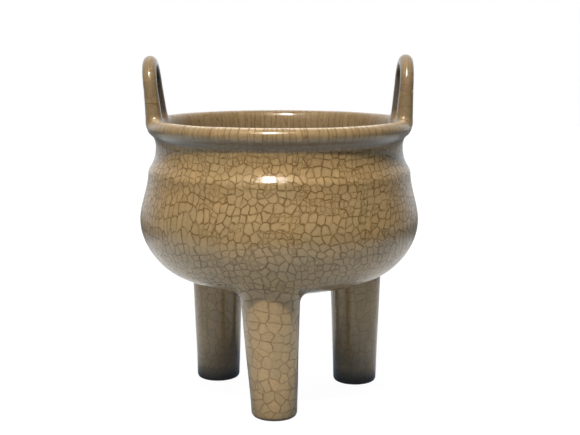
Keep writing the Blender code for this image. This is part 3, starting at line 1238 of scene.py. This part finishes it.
    def _store(self, mesh: bpy.types.Mesh, region: Region, values: np.ndarray) -> None:
        """Stores one attribute of the skin.

        Args:
            mesh: The skin.
            region: Which attribute.
            values: Its values, a number or a row of three for each point.
        """
        kind, field_name = ("FLOAT", "value") if values.ndim == 1 else ("FLOAT_VECTOR", "vector")
        store = mesh.attributes.new(region.value, kind, "POINT")
        store.data.foreach_set(field_name, values.astype(np.float32).ravel())


@dataclass(frozen=True)
class Crack:
    """How one generation of cracks shows."""

    width: float                 # in millimetres
    strength: float


@dataclass(frozen=True)
class Pit:
    """A small hole in the glaze with a raised edge. Lengths in millimetres."""

    middle: tuple[float, float, float]
    radius: float
    depth: float
    squash: tuple[float, float, float]      # how much narrower it is along X, Y and Z
    wall: Fade = Fade(0.35, 1.0, 1.0, 0.0)  # from its floor to its edge, in radii
    collar_inner: Fade = Fade(0.7, 1.2)     # the raised edge, in radii
    collar_outer: Fade = Fade(1.2, 2.4, 1.0, 0.0)
    collar_rise: float = 0.5                # in depths


@dataclass(frozen=True)
class LoneCrack:
    """One level crack round a handle's post. Lengths in millimetres."""

    height: float
    corner: tuple[float, float]             # it lies where X and Y are less than these
    width: float
    waver: float                            # how far it strays from its height
    wavers: float = 0.35                    # bends for each millimetre


@dataclass(frozen=True)
class CrackledGlaze:
    """Thick greyish-gold glaze with brown-stained cracks, and bare clay under the feet."""

    cell: float = 3.30                      # size of a cell in millimetres
    part: float = 0.66                      # size of the parts of a divided cell, in cells
    block: float = 3.3                      # size of the blocks between the first cracks, in cells
    one_block: float = 0.001                # blocks' random values closer than this are one block's
    uneven: float = 0.66                    # 0 for even cells, 1 for the most uneven ones
    first: Crack = Crack(0.46, 1.00)        # the first cracks, between blocks of cells
    second: Crack = Crack(0.40, 0.86)       # the cracks between the cells of a block
    third: Crack = Crack(0.34, 0.66)        # fine cracks that divide a cell
    healed: float = 0.07                    # share of the cracks inside a block that are missing
    glaze: tuple = (0.250, 0.178, 0.088, 1.0)
    glaze_warm: tuple = (0.262, 0.172, 0.085, 1.0)
    glaze_grey: tuple = (0.215, 0.170, 0.100, 1.0)
    glaze_brown: tuple = (0.158, 0.117, 0.071, 1.0)
    # pale thin glaze on the rim's top, brightened as a painted highlight
    glaze_thin_and_highlight: tuple = (0.46, 0.38, 0.27, 1.0)
    # painted shade, dark blue-grey: under the lip (with glaze pooled there), towards the feet and inside the
    # loops
    glaze_painted_shade: tuple = (0.030, 0.038, 0.050, 1.0)
    crack: tuple = (0.090, 0.052, 0.016, 1.0)
    stain: tuple = (0.175, 0.112, 0.045, 1.0)
    clay: tuple = (0.150, 0.098, 0.062, 1.0)
    pits: tuple[Pit, ...] = (
        Pit((-24.6, -43.9, 58.6), 1.30, 0.45, (0.8, 0.8, 1.9)),
        Pit((-28.6, -40.9, 58.2), 0.80, 0.16, (0.5, 0.5, 1.6)))
    lone_cracks: tuple[LoneCrack, ...] = (LoneCrack(131.7, (-52.0, 0.0), 0.34, 0.5),)
    meander: tuple[float, float] = (0.16, 2.0)         # sways the patches' edges: scale and detail
    seam_swing: float = 0.5                 # how far the pattern's seams sway, in radians
    flat_swing: float = 8.0                 # how far the edge of the part in plan sways, in millimetres
    limb_swing: float = 3.0                 # and that of a limb's part
    plan_start: tuple = (300.0, 300.0, 0.0)            # keeps the part in plan off the rest
    off_edge: float = 50.0                  # more than any distance between two cracks
    warps: tuple = ((0.055, 1.6), (0.24, 0.42), (0.80, 0.20))  # bends for each millimetre, and their reach
    crack_core: float = 0.1                 # share of a crack's width that is darkest
    clumps: Patches = Patches(0.085, 1.0, Fade(0.42, 0.60, 0.0, 1.5))      # of divided cells
    pair_spread: float = 5.7                # makes one random value of two
    fainter: Patches = Patches(0.16, 1.0, Fade(0.30, 0.62, 0.84, 1.14))    # of cracks, in broad patches
    patchy: Patches = Patches(0.50, 1.0, Fade(0.34, 0.64, 0.58, 1.16))     # and in small ones
    stain_reach: Fade = Fade(0.0, 0.8, 1.0, 0.0)       # by millimetres from the crack
    stain_share: float = 0.34
    warmer: Fade = Fade(0.55, 1.0, 0.0, 0.5)           # share of the cells that are warm in colour
    greyer: Patches = Patches(0.045, 2.0, Fade(0.42, 0.68, 0.0, 0.5))
    cell_shades: Fade = Fade(0.0, 1.0, 0.94, 1.06)
    specks: Patches = Patches(0.80, 2.0, Fade(0.30, 0.70, -0.08, 0.08))
    bare_height: float = 0.5                # the bare clay's lowest edge, in millimetres
    bare_ragged: float = 1.8                # how much higher it reaches in places
    bare_edge: float = 0.3
    bare_points: tuple[float, float] = (0.6, 2.0)      # its points for each millimetre, and their detail
    undulation: tuple[float, float] = (0.22, 0.06)     # waves for each millimetre, and their height
    peel: tuple[float, float] = (1.9, 0.090)           # and of the fine unevenness
    dome: float = 0.020                     # how far a cell's middle stands over its edge, in millimetres
    groove: float = 0.006                   # depth of the cracks
    roughness: float = 0.34
    crack_roughness: float = 0.12           # what the cracks add to it
    bare_roughness: float = 0.5             # what bare clay and the pits add to it
    ior: float = 1.45
    specular: float = 0.4
    coat: float = 0.75
    coat_over_pit: Fade = Fade(0.0, 0.6, 1.0, 0.0)     # the coat is gone in a pit
    coat_roughness: float = 0.07

    def build(self) -> bpy.types.Material:
        """Builds the glaze's material.

        Returns:
            The material.
        """
        finish = Finish("crackled_glaze")
        g = finish.graph
        place = g.scaled(g.place(), 1.0 / MILLIMETRE)
        sheet, patch_edge = self._sheet(g, place)
        cracks, stain, cell_tone, cell_hue = self._cracks(g, sheet, patch_edge, place)
        for crack in self.lone_cracks:
            cracks = g.most(cracks, self._lone(g, place, crack))
        hole, collar = self._pitted(g, place)
        cracks = g.most(cracks, hole)
        colour = self._colour(g, place, cracks, stain, cell_tone, cell_hue)
        bare = self._bare(g, place)
        finish.put("Base Color", g.colour_mix(bare, colour, self.clay))
        rough = g.plus(g.times(cracks, self.crack_roughness), self.roughness)
        rough = g.plus(rough, g.times(g.most(bare, hole), self.bare_roughness))
        finish.put("Roughness", rough)
        finish.put("IOR", self.ior)
        finish.put("Specular IOR Level", self.specular)
        finish.put("Coat Weight", g.times(g.fade(hole, self.coat_over_pit), self.coat))
        finish.put("Coat Roughness", self.coat_roughness)
        finish.put("Normal", self._relief(g, place, cracks, stain, collar))
        return finish.material

    def _sheet(self, g: Graph, place: object) -> tuple:
        """Lays the skin out flat, patch by patch.

        Args:
            g: The material's graph.
            place: Place on the piece, in millimetres.

        Returns:
            Flat coordinates in millimetres, and the distance to the nearest edge between patches.
        """
        x, y, _ = g.split(place)
        meander = g.minus(g.noise(place, *self.meander), 0.5)
        swing = g.times(meander, self.seam_swing)
        angle = g.math("ARCTAN2", x, g.times(y, -1.0))
        turned = g.math("WRAP", g.plus(angle, swing), math.pi, -math.pi)
        to_seam = g.minus(math.pi, g.math("ABSOLUTE", turned))
        seam = g.times(to_seam, PATTERN_RADIUS)
        around = g.times(g.minus(turned, swing), PATTERN_RADIUS)
        _, _, shift = g.split(g.three(Region.PACE))
        around = g.plus(around, shift)
        body = g.joined(around, g.number(Region.RUN))
        flat_side = g.plus(g.number(Region.FLAT), g.times(meander, self.flat_swing))
        flat = g.vector("ADD", g.joined(x, y), self.plan_start)
        sheet = g.choice(g.math("GREATER_THAN", flat_side, 0.0), body, flat)
        across, back, limb_run = g.split(g.three(Region.LIMB))
        girth = g.number(Region.GIRTH)
        limb_angle = g.math("ARCTAN2", across, back)
        limb_turned = g.math("WRAP", g.plus(limb_angle, swing), math.pi, -math.pi)
        limb_seam = g.times(g.minus(math.pi, g.math("ABSOLUTE", limb_turned)), girth)
        limb = g.joined(g.times(g.minus(limb_turned, swing), girth), limb_run)
        limb_side = g.plus(g.number(Region.SIDE), g.times(meander, self.limb_swing))
        on_limb = g.math("GREATER_THAN", limb_side, 0.0)
        sheet = g.choice(on_limb, sheet, limb)
        in_plan = g.times(g.most(flat_side, 0.0), self.off_edge)
        body_edge = g.least(g.math("ABSOLUTE", flat_side), g.plus(seam, in_plan))
        edge = g.add("ShaderNodeMix", {0: on_limb, 2: body_edge, 3: limb_seam}).outputs[0]
        return sheet, g.least(edge, g.math("ABSOLUTE", limb_side))

    def _cracks(self, g: Graph, sheet: object, patch_edge: object, place: object) -> tuple:
        """Divides the sheet into blocks, cells and parts of cells.

        Args:
            g: The material's graph.
            sheet: Flat coordinates in millimetres.
            patch_edge: Distance to the edge between patches.
            place: Place on the piece, in millimetres.

        Returns:
            How much a point is crack and how much stained glaze, and each cell's two random values.
        """
        for scale, reach in self.warps:
            shift = g.vector("SUBTRACT", g.noise(sheet, scale, 0.0, "2D", "Color"), (0.5, 0.5, 0.5))
            sheet = g.vector("ADD", sheet, g.scaled(shift, reach * 2.0))
        pace = g.vector("MULTIPLY", g.three(Region.PACE), (1.0, 1.0, 0.0))
        divided, show, wide = g.split(g.three(Region.HABIT))
        own, other, own_draw, other_draw, border = self._cells(g, sheet, self.cell, pace)
        own_block, other_block = self._block(g, own), self._block(g, other)
        apart = g.length(g.vector("SUBTRACT", own_block, other_block))
        between = g.math("GREATER_THAN", apart, self.one_block)
        draw_x, draw_y, draw_z = g.split(own_draw)
        other_x, _, other_z = g.split(other_draw)
        is_divided = self._divided(g, own, draw_x, divided)
        both_divided = g.times(is_divided, self._divided(g, other, other_x, divided))
        pair = g.math("FRACT", g.times(g.plus(draw_z, other_z), self.pair_spread))
        not_healed = g.math("GREATER_THAN", pair, self.healed)
        open_crack = g.times(not_healed, g.minus(1.0, both_divided))
        whole = g.most(between, open_crack)
        strength = g.ramp(between, 0.0, 1.0, self.second.strength, self.first.strength)
        width = g.times(g.ramp(between, 0.0, 1.0, self.second.width, self.first.width), wide)
        cracks = g.times(self._line(g, border, width), g.times(strength, whole))
        _, _, part_draw, _, part_border = self._cells(g, sheet, self.cell * self.part, pace)
        whole_cell = g.times(g.minus(1.0, is_divided), self.off_edge)
        parts = g.plus(part_border, whole_cell)
        thin = self._line(g, parts, g.times(wide, self.third.width))
        thin = g.times(thin, self.third.strength)
        cracks = g.most(cracks, thin)
        edge = g.times(self._line(g, patch_edge, self.first.width), self.first.strength)
        cracks = g.most(cracks, edge)
        shown = g.times(g.patches(place, self.fainter), show)
        cracks = g.times(cracks, g.patches(place, self.patchy))
        cracks = g.math("MULTIPLY", cracks, shown, clamp=True)
        nearest = g.least(g.least(border, parts), patch_edge)
        stain = g.times(g.fade(nearest, self.stain_reach), show)
        part_x, _, _ = g.split(part_draw)
        tone = g.math("FRACT", g.plus(draw_x, g.times(part_x, is_divided)))
        return cracks, stain, tone, draw_y

    def _cells(self, g: Graph, sheet: object, size: float, pace: object) -> tuple:
        """Divides the sheet into cells of one size.

        Args:
            g: The material's graph.
            sheet: Flat coordinates in millimetres.
            size: Size of a cell in millimetres.
            pace: Millimetres of the sheet for each millimetre of skin.

        Returns:
            The middles of the nearest two cells and their random values, and the distance to the border
            between them in millimetres.
        """
        grid = g.scaled(sheet, 1.0 / size)
        own, other = (g.cells(grid, "Position", self.uneven, which) for which in ("F1", "F2"))
        own_draw, other_draw = (g.cells(grid, "Color", self.uneven, which) for which in ("F1", "F2"))
        span = g.vector("SUBTRACT", other, own)
        gap = g.vector("SUBTRACT", g.scaled(g.vector("ADD", own, other), 0.5), grid)
        paced = g.length(g.vector("MULTIPLY", span, pace))
        border = g.times(g.math("DIVIDE", g.dot(gap, span), paced), size)
        return own, other, own_draw, other_draw, border

    def _block(self, g: Graph, middle: object) -> object:
        """Returns the random value of the block that a cell lies in."""
        return g.cells(g.scaled(middle, 1 / self.block), "Color")

    def _divided(self, g: Graph, middle: object, draw: object, share: object) -> object:
        """Returns 1 for a cell that is divided; such cells lie in clumps."""
        clumped = g.patches(g.scaled(middle, self.cell), self.clumps, "2D")
        return g.math("LESS_THAN", draw, g.times(share, clumped))

    def _line(self, g: Graph, distance: object, width: object) -> object:
        """Returns 1 on a crack of that width and 0 away from it."""
        return g.ramp(distance, g.times(width, self.crack_core), width, 1.0, 0.0)

    def _colour(self, g: Graph, place: object, cracks: object, stain: object, tone: object,
                hue: object) -> object:
        """Mixes the glaze's colour, with its painted shade and the painted highlight on the rim's top.

        Args:
            g: The material's graph.
            place: Place on the piece, in millimetres.
            cracks: How much a point is crack.
            stain: How near it lies to one.
            tone: The cell's random value for its shade.
            hue: The cell's random value for its colour.

        Returns:
            The colour, with its stained cracks.
        """
        colour = g.colour_mix(g.fade(hue, self.warmer), self.glaze, self.glaze_warm)
        colour = g.colour_mix(g.patches(place, self.greyer), colour, self.glaze_grey)
        painted_shade_share, brown, thin = g.split(g.three(Region.DEPTH))
        colour = g.colour_mix(brown, colour, self.glaze_brown)
        # painted shade
        colour = g.colour_mix(painted_shade_share, colour, self.glaze_painted_shade)
        # pale thin glaze with a painted highlight along the rim's top
        colour = g.colour_mix(thin, colour, self.glaze_thin_and_highlight)
        shade = g.plus(g.fade(tone, self.cell_shades), g.patches(place, self.specks))
        colour = g.colour_mix(1.0, colour, g.joined(shade, shade, shade), "MULTIPLY")
        colour = g.colour_mix(g.times(stain, self.stain_share), colour, self.stain)
        return g.colour_mix(cracks, colour, self.crack)

    def _bare(self, g: Graph, place: object) -> object:
        """Marks the bare clay ring of each foot.

        Args:
            g: The material's graph.
            place: Place on the piece, in millimetres.

        Returns:
            1 on the ring and 0 above its ragged edge.
        """
        _, _, z = g.split(place)
        noise = g.noise(place, *self.bare_points)
        edge = g.plus(g.times(noise, self.bare_ragged), self.bare_height)
        low, high = g.minus(edge, self.bare_edge), g.plus(edge, self.bare_edge)
        return g.ramp(z, low, high, 1.0, 0.0)

    def _lone(self, g: Graph, place: object, crack: LoneCrack) -> object:
        """Draws a lone crack.

        Args:
            g: The material's graph.
            place: Place on the piece, in millimetres.
            crack: The crack.

        Returns:
            How plainly it shows at a point.
        """
        x, y, z = g.split(place)
        noise = g.noise(place, crack.wavers)
        level = g.plus(g.times(noise, crack.waver * 2.0), crack.height - crack.waver)
        away = g.math("ABSOLUTE", g.minus(z, level))
        corner_x, corner_y = crack.corner
        side = g.times(g.math("LESS_THAN", x, corner_x), g.math("LESS_THAN", y, corner_y))
        return g.times(side, self._line(g, away, crack.width))

    def _pitted(self, g: Graph, place: object) -> tuple:
        """Sinks the pits.

        Args:
            g: The material's graph.
            place: Place on the piece, in millimetres.

        Returns:
            How deep a point lies in a pit, and the height of the glaze round the pits in metres.
        """
        hole, relief = 0.0, 0.0
        for pit in self.pits:
            offset = g.vector("MULTIPLY", g.vector("SUBTRACT", place, pit.middle), pit.squash)
            distance = g.math("DIVIDE", g.length(offset), pit.radius)
            inside = g.fade(distance, pit.wall)
            inner, outer = g.fade(distance, pit.collar_inner), g.fade(distance, pit.collar_outer)
            collar = g.times(g.times(inner, outer), pit.collar_rise)
            rise = g.minus(collar, inside)
            relief = g.plus(relief, g.times(rise, pit.depth * MILLIMETRE))
            hole = g.most(hole, inside)
        return hole, relief

    def _relief(self, g: Graph, place: object, cracks: object, stain: object, collar: object) -> object:
        """Shapes the faintly uneven gloss, with cells that dome a little between the cracks.

        Args:
            g: The material's graph.
            place: Place on the piece, in millimetres.
            cracks: How much a point is crack.
            stain: How near it lies to one.
            collar: Height of the glaze round the pits, in metres.

        Returns:
            The normal.
        """
        height = 0.0
        for scale, reach in (self.undulation, self.peel):
            height = g.plus(height, g.times(g.noise(place, scale), reach * MILLIMETRE))
        for share, depth in ((stain, self.dome), (cracks, self.groove)):
            height = g.minus(height, g.times(share, depth * MILLIMETRE))
        height = g.plus(height, collar)
        return g.add("ShaderNodeBump", {"Strength": 1.0, "Distance": 1.0, "Height": height}).outputs[0]


@dataclass(frozen=True)
class Viewpoint:
    """The photograph's camera, in metres, degrees and pixels of its 580 by 435 frame."""

    width: float = 580.0
    focal: float = 1177.59
    axis_column: float = 279.23         # pixel column that the bowl's axis stands on
    distance: float = 0.5223
    height: float = 0.161855
    pitch: float = 8.92
    sensor: float = 36.0
    nearest: float = 0.01               # how close it sees

    def build(self) -> None:
        """Makes the camera and gives it to the scene."""
        data = bpy.data.cameras.new("camera")
        data.sensor_width = self.sensor
        data.lens = self.focal / self.width * self.sensor
        data.shift_x = (self.width / 2 - self.axis_column) / self.width
        data.clip_start = self.nearest
        camera = bpy.data.objects.new("camera", data)
        camera.location = (0.0, -self.distance, self.height)
        camera.rotation_euler = (math.radians(90.0 - self.pitch), 0.0, 0.0)
        bpy.context.scene.collection.objects.link(camera)
        bpy.context.scene.camera = camera


@dataclass(frozen=True)
class Aim:
    """Where a light stands and faces the burner from. Angles in degrees, distance in metres."""

    azimuth: float                      # to the right of the camera's side
    elevation: float
    distance: float = 1.2

    def place(self, light: bpy.types.Object, target: Vector) -> None:
        """Puts a light there.

        Args:
            light: The lamp or the glowing sheet, whose -Z side shines.
            target: What it faces.
        """
        azimuth, elevation = math.radians(self.azimuth), math.radians(self.elevation)
        direction = Vector((math.sin(azimuth) * math.cos(elevation),
                            -math.cos(azimuth) * math.cos(elevation), math.sin(elevation)))
        light.location = target + direction * self.distance
        light.rotation_euler = (-direction).to_track_quat("-Z", "Y").to_euler()
        bpy.context.scene.collection.objects.link(light)


@dataclass(frozen=True)
class Lamp:
    """A soft light that faces the burner and that the glaze doesn't mirror."""

    name: str
    aim: Aim
    size: tuple[float, float]           # width and height in metres
    watts: float
    colour: tuple[float, float, float]

    def build(self, target: Vector) -> None:
        """Makes the light.

        Args:
            target: What it faces.
        """
        data = bpy.data.lights.new(self.name, "AREA")
        data.shape = "RECTANGLE"
        data.size, data.size_y = self.size
        data.energy = self.watts
        data.color = self.colour
        lamp = bpy.data.objects.new(self.name, data)
        lamp.visible_glossy = False
        self.aim.place(lamp, target)


@dataclass(frozen=True)
class Window:
    """A bright sheet that only the glaze's gloss sees. Lengths in metres."""

    aim: Aim = Aim(-7.4, 56.0)
    width: float = 0.46
    height: float = 0.40
    soft: float = 0.05                      # width of the fading edge
    core: tuple[float, float] = (-0.125, 0.030)        # the brightest part's left and right edges
    core_glow: float = 75.0
    side_glow: tuple[float, float] = (8.0, 10.0)       # to its left and to its right
    colour: tuple = (1.0, 0.96, 0.90)

    def build(self, target: Vector) -> None:
        """Makes the sheet.

        Args:
            target: What it faces.
        """
        mesh = bpy.data.meshes.new("key_window")
        corners = [(x * self.width / 2, y * self.height / 2, 0.0)
                   for x, y in ((-1, -1), (1, -1), (1, 1), (-1, 1))]
        mesh.from_pydata(corners, [], [(3, 2, 1, 0)])
        mesh.materials.append(self._material())
        sheet = bpy.data.objects.new("key_window", mesh)
        show_only(sheet, "glossy")
        self.aim.place(sheet, target)

    def _material(self) -> bpy.types.Material:
        """Builds the glow: brightest left of the middle, and fading at the edges.

        Returns:
            The material.
        """
        finish = Finish("window_glow")
        finish.put("Base Color", BLACK)
        finish.put("Emission Color", (*self.colour, 1.0))
        g = finish.graph
        across, up, _ = g.split(g.place())
        start, end = self.core
        left, right = self.side_glow
        glow = g.ramp(across, start - self.soft / 2, start + self.soft / 2, left, self.core_glow)
        fall = g.ramp(across, end - self.soft / 2, end + self.soft / 2, 1.0, right / self.core_glow)
        glow = g.times(glow, fall)
        for place, half in ((across, self.width / 2), (up, self.height / 2)):
            inward = g.minus(half, g.math("ABSOLUTE", place))
            glow = g.times(glow, g.ramp(inward, 0.0, self.soft))
        finish.put("Emission Strength", glow)
        return finish.material


@dataclass(frozen=True)
class Studio:
    """Plain pale floor, white surround and soft light."""

    lamps: tuple[Lamp, ...] = (
        Lamp("key_light", Aim(-6.5, 57.5), (0.22, 0.06), 25.3, (1.0, 0.92, 0.80)),
        Lamp("side_light", Aim(-52.0, 60.0, 1.4), (0.70, 0.70), 6.6, (1.0, 0.95, 0.88)))
    window: Window = Window()
    feet: tuple[Vector, ...] = ()
    floor_radius: float = 1.6
    floor_corners: int = 96
    surround_radius: float = 4.0
    surround_sides: int = 48
    sheet_gap: float = 0.0005                           # between the floor's three sheets
    floor_matt: tuple = (0.04, 0.04, 0.04, 1.0)         # takes a trace of the burner's shadow
    floor_glow: Fade = Fade(0.08, 0.45, 0.97, 1.0)      # by distance from the axis
    # The floor that lights the burner is painted with shade: a painted shadow under the burner and round
    # each foot, and dimmer far off and toward the right.
    bounce_middle: tuple = (0.003, 0.018, 0.0)          # of the dim floor between the legs
    bounce_level: Fade = Fade(0.025, 0.080, 0.70, 0.76)         # by distance from there
    bounce_feet: Fade = Fade(0.010, 0.044)              # by distance from a foot
    front_foot_light: float = 0.30
    rear_foot_light: float = 0.10
    bounce_front: Fade = Fade(0.10, 0.40, 1.0, 0.0)     # toward the back, where the far floor is dim
    bounce_dim: Fade = Fade(0.12, 0.36, 0.0, 0.60)      # by distance: how dim
    bounce_right: Fade = Fade(0.0, 0.10, 1.0, 0.80)     # dimmer toward the right
    bounce_cool: Fade = Fade(0.03, 0.09, 1.0, 0.0)      # by distance
    floor_tint: tuple = (0.92, 1.0, 1.04)
    shade_tint: tuple = (0.92, 1.00, 1.12)
    # painted reflection of the floor, seen only in the gloss, with painted shade round the feet and a
    # brighter patch at the left behind the front leg
    mirror_edge: Fade = Fade(0.038, 0.095)              # from under the burner to the open floor
    mirror_under: tuple = (0.22, 0.28, 0.35)
    mirror_open: tuple = (0.80, 0.80, 0.78)
    mirror_far: Fade = Fade(0.19, 0.36)                 # by distance, to the far floor
    far_front: float = 0.04
    far_back: Fade = Fade(0.50, 1.00, 0.24, 0.72)       # by distance
    far_turn: tuple[float, float] = (-0.10, 0.10)       # toward the back, from the front's level to this
    left_paper: float = 0.60                            # level of the pale paper far to the left
    left_start: Fade = Fade(0.15, 0.28)                 # toward the left
    left_front: Fade = Fade(-0.20, -0.05)               # toward the back
    left_back: Fade = Fade(0.05, 0.10, 1.0, 0.0)
    left_end: Fade = Fade(0.45, 0.80, 1.0, 0.0)         # by distance
    beside_boost: float = 1.15                          # brighter floor at the left, behind the front leg
    beside_start: Fade = Fade(0.05, 0.12)               # toward the left
    beside_front: Fade = Fade(-0.032, -0.006)           # toward the back
    beside_end: Fade = Fade(0.20, 0.34, 1.0, 0.0)       # by distance
    mirror_feet: Fade = Fade(0.010, 0.034)              # by distance from a foot
    front_foot_shade: tuple = (0.70, 0.70, 0.70)
    rear_foot_shade: tuple = (0.30, 0.37, 0.48)
    front_glow: tuple = (0.030, 0.035, 0.042, 1.0)      # the room, in front of the burner
    left_glow: tuple = (0.045, 0.048, 0.052, 1.0)
    back_glow: tuple = (0.84, 0.86, 0.88, 1.0)
    glow_left: Fade = Fade(-0.8, 0.3, 1.0, 0.0)         # toward the right
    glow_back: Fade = Fade(0.20, 1.0)                   # toward the back, and a little upward
    glow_rise: float = 0.25

    def build(self, target: Vector) -> None:
        """Makes the floor, the surround, the light and the world.

        Args:
            target: What the lights face.
        """
        for lamp in self.lamps:
            lamp.build(target)
        self.window.build(target)
        floor = self._disc("floor", 0.0, self._floor_material())
        show_only(floor, "camera")
        bounce = self._disc("floor_bounce", -self.sheet_gap, self._bounce_material())
        show_only(bounce, "diffuse", "shadow")
        mirror = self._disc("floor_mirror", -2 * self.sheet_gap, self._mirror_material())
        show_only(mirror, "glossy")
        surround = self._surround()
        show_only(surround, "camera")
        self._world()
        bpy.context.scene.view_settings.view_transform = "Standard"

    def _disc(self, name: str, height: float, material: bpy.types.Material) -> bpy.types.Object:
        """Makes a round sheet on the ground.

        Args:
            name: Its name.
            height: Its height.
            material: Its material.

        Returns:
            The sheet.
        """
        mesh = bpy.data.meshes.new(name)
        radius = self.floor_radius
        angles = np.linspace(0.0, 2 * math.pi, self.floor_corners + 1)[:-1]
        corners = [(radius * math.cos(angle), radius * math.sin(angle), height) for angle in angles]
        mesh.from_pydata(corners, [], [list(range(len(corners)))])
        mesh.materials.append(material)
        disc = bpy.data.objects.new(name, mesh)
        bpy.context.scene.collection.objects.link(disc)
        return disc

    def _surround(self) -> bpy.types.Object:
        """Makes the white surround that the camera sees behind the burner.

        Returns:
            The surround.
        """
        bpy.ops.mesh.primitive_uv_sphere_add(segments=self.surround_sides, radius=self.surround_radius,
                                             ring_count=self.surround_sides // 2)
        surround = bpy.context.object
        surround.name = "surround"
        surround.data.materials.append(self._paper("surround_paper", BLACK, WHITE).material)
        return surround

    def _paper(self, name: str, matt: tuple, glow: tuple = BLACK) -> Finish:
        """Makes a matt paper that may glow by itself.

        Args:
            name: Its name.
            matt: Its colour.
            glow: Colour of its own light.

        Returns:
            The paper.
        """
        finish = Finish(name)
        for socket, value in (("Base Color", matt), ("Roughness", 1.0), ("Emission Color", glow),
                              ("Emission Strength", 1.0)):
            finish.put(socket, value)
        return finish

    def _floor_material(self) -> bpy.types.Material:
        """Builds the pale floor: nearly white, with a faint trace of the burner's shadow.

        Returns:
            The material.
        """
        finish = self._paper("floor_paper", self.floor_matt, WHITE)
        g = finish.graph
        finish.put("Emission Strength", g.fade(g.length(g.place()), self.floor_glow))
        return finish.material

    def _bounce_material(self) -> bpy.types.Material:
        """Builds what lights the burner from the floor: cool, with a painted shadow under the burner and
        round the feet.

        Returns:
            The material.
        """
        finish = self._paper("bounce_paper", WHITE)
        g = finish.graph
        place = g.place()
        distance = g.length(g.vector("SUBTRACT", place, self.bounce_middle))
        near = g.fade(distance, self.bounce_level)
        reach = self.bounce_feet
        for foot in self.feet:
            from_foot = g.length(g.vector("SUBTRACT", place, tuple(foot)))
            dim = self.front_foot_light if foot.y < 0 else self.rear_foot_light
            # painted shadow round each foot
            near = g.times(near, g.ramp(from_foot, reach.low, reach.high, dim, 1.0))
        toward_right, toward_back, _ = g.split(place)
        dark = g.times(g.fade(toward_back, self.bounce_front), g.fade(distance, self.bounce_dim))
        bright = g.times(g.minus(near, dark), g.fade(toward_right, self.bounce_right))
        tint = g.choice(g.fade(distance, self.bounce_cool), self.floor_tint, self.shade_tint)
        finish.put("Base Color", g.scaled(tint, bright))
        return finish.material

    def _mirror_material(self) -> bpy.types.Material:
        """Builds the painted reflection of the floor that the glaze mirrors: cool under the burner, pale
        round it, dim far off.

        Returns:
            The material.
        """
        finish = self._paper("mirror_paper", BLACK)
        g = finish.graph
        place = g.place()
        toward_right, toward_back, _ = g.split(place)
        toward_left = g.times(toward_right, -1.0)
        distance = g.length(place)
        far = g.ramp(toward_back, *self.far_turn, self.far_front, g.fade(distance, self.far_back))
        paper = self._within(g, toward_left, toward_back, distance,
                             (self.left_start, self.left_front, self.left_end))
        paper = g.times(paper, g.fade(toward_back, self.left_back))
        far = g.most(far, g.times(paper, self.left_paper))
        beside = self._within(g, toward_left, toward_back, distance,
                              (self.beside_start, self.beside_front, self.beside_end))
        boost = g.ramp(beside, 0.0, 1.0, 1.0, self.beside_boost)
        level = g.ramp(distance, self.mirror_far.low, self.mirror_far.high, 1.0, far)
        colour = g.choice(g.fade(distance, self.mirror_edge), self.mirror_under, self.mirror_open)
        colour = g.scaled(colour, g.times(boost, level))
        for foot in self.feet:
            from_foot = g.length(g.vector("SUBTRACT", place, tuple(foot)))
            near_foot = self.front_foot_shade if foot.y < 0 else self.rear_foot_shade
            shade = g.choice(g.fade(from_foot, self.mirror_feet), near_foot, (1.0, 1.0, 1.0))
            colour = g.vector("MULTIPLY", colour, shade)
        finish.put("Emission Color", colour)
        return finish.material

    def _within(self, g: Graph, toward_left: object, toward_back: object, distance: object,
                fades: tuple[Fade, Fade, Fade]) -> object:
        """Marks a part of the floor by its soft left, front and far edges.

        Args:
            g: The material's graph.
            toward_left: Way toward the left.
            toward_back: Way toward the back.
            distance: Distance from the axis.
            fades: What becomes of each of these.

        Returns:
            1 within that part and 0 outside it.
        """
        left, back, away = fades
        share = g.times(g.fade(toward_left, left), g.fade(toward_back, back))
        return g.times(share, g.fade(distance, away))

    def _world(self) -> None:
        """Lights the room: a bright wall behind the burner and a dim room in front of it."""
        world = bpy.data.worlds.new("studio")
        bpy.context.scene.world = world
        world.use_nodes = True
        g = Graph(world.node_tree)
        toward_right, toward_back, up = g.split(g.add("ShaderNodeTexCoord").outputs["Generated"])
        behind = g.fade(g.plus(toward_back, g.times(up, self.glow_rise)), self.glow_back)
        colour = g.colour_mix(g.fade(toward_right, self.glow_left), self.front_glow, self.left_glow)
        colour = g.colour_mix(behind, colour, self.back_glow)
        background = world.node_tree.nodes["Background"]
        g.feed(background.inputs["Color"], colour)
        background.inputs["Strength"].default_value = 1.0


def main() -> None:
    """Builds the burner, its looks and the studio."""
    logging.basicConfig(level=logging.INFO, format="%(name)s: %(message)s")
    low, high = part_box("censer")
    bowl = TurnedBowl(belly_radius=(high.y - low.y) / 2)
    feet = {mount["name"]: Vector(mount["pos_m"]) for mount in frame["record"]["mounts"]}
    legs = [
        Leg("front_leg", feet["foot_front"], hidden=math.radians(80), foot_radius=0.0097, top_radius=0.0125,
            lean=FRONT_LEG_SHIFT / bowl.leg_clearance, crack_show=0.80, painted_foot_shades=(0.10, 0.0, 0.0)),
        Leg("right_leg", feet["foot_right"], hidden=math.radians(160)),
        Leg("left_leg", feet["foot_left"], hidden=math.radians(20))]
    height = high.z - bowl.crest_z
    handles = [
        LoopHandle("left_handle", -1, height - LEFT_HANDLE_DROP, lean=math.radians(6.0), bowl=bowl),
        LoopHandle("right_handle", 1, height, lean=math.radians(3.2), bowl=bowl)]
    glaze = CrackledGlaze().build()
    piece = Burner(bowl, legs, handles).build(glaze)
    mesh = piece.data
    log.info("%s has %d vertices and %d faces", piece.name, len(mesh.vertices), len(mesh.polygons))
    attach(piece, "root")
    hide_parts("censer")
    Studio(feet=tuple(feet.values())).build(Vector((0.0, 0.0, bowl.belly_z)))
    Viewpoint().build()
    log.info("studio and camera are in place")


if __name__ == "__main__":
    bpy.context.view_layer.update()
    main()
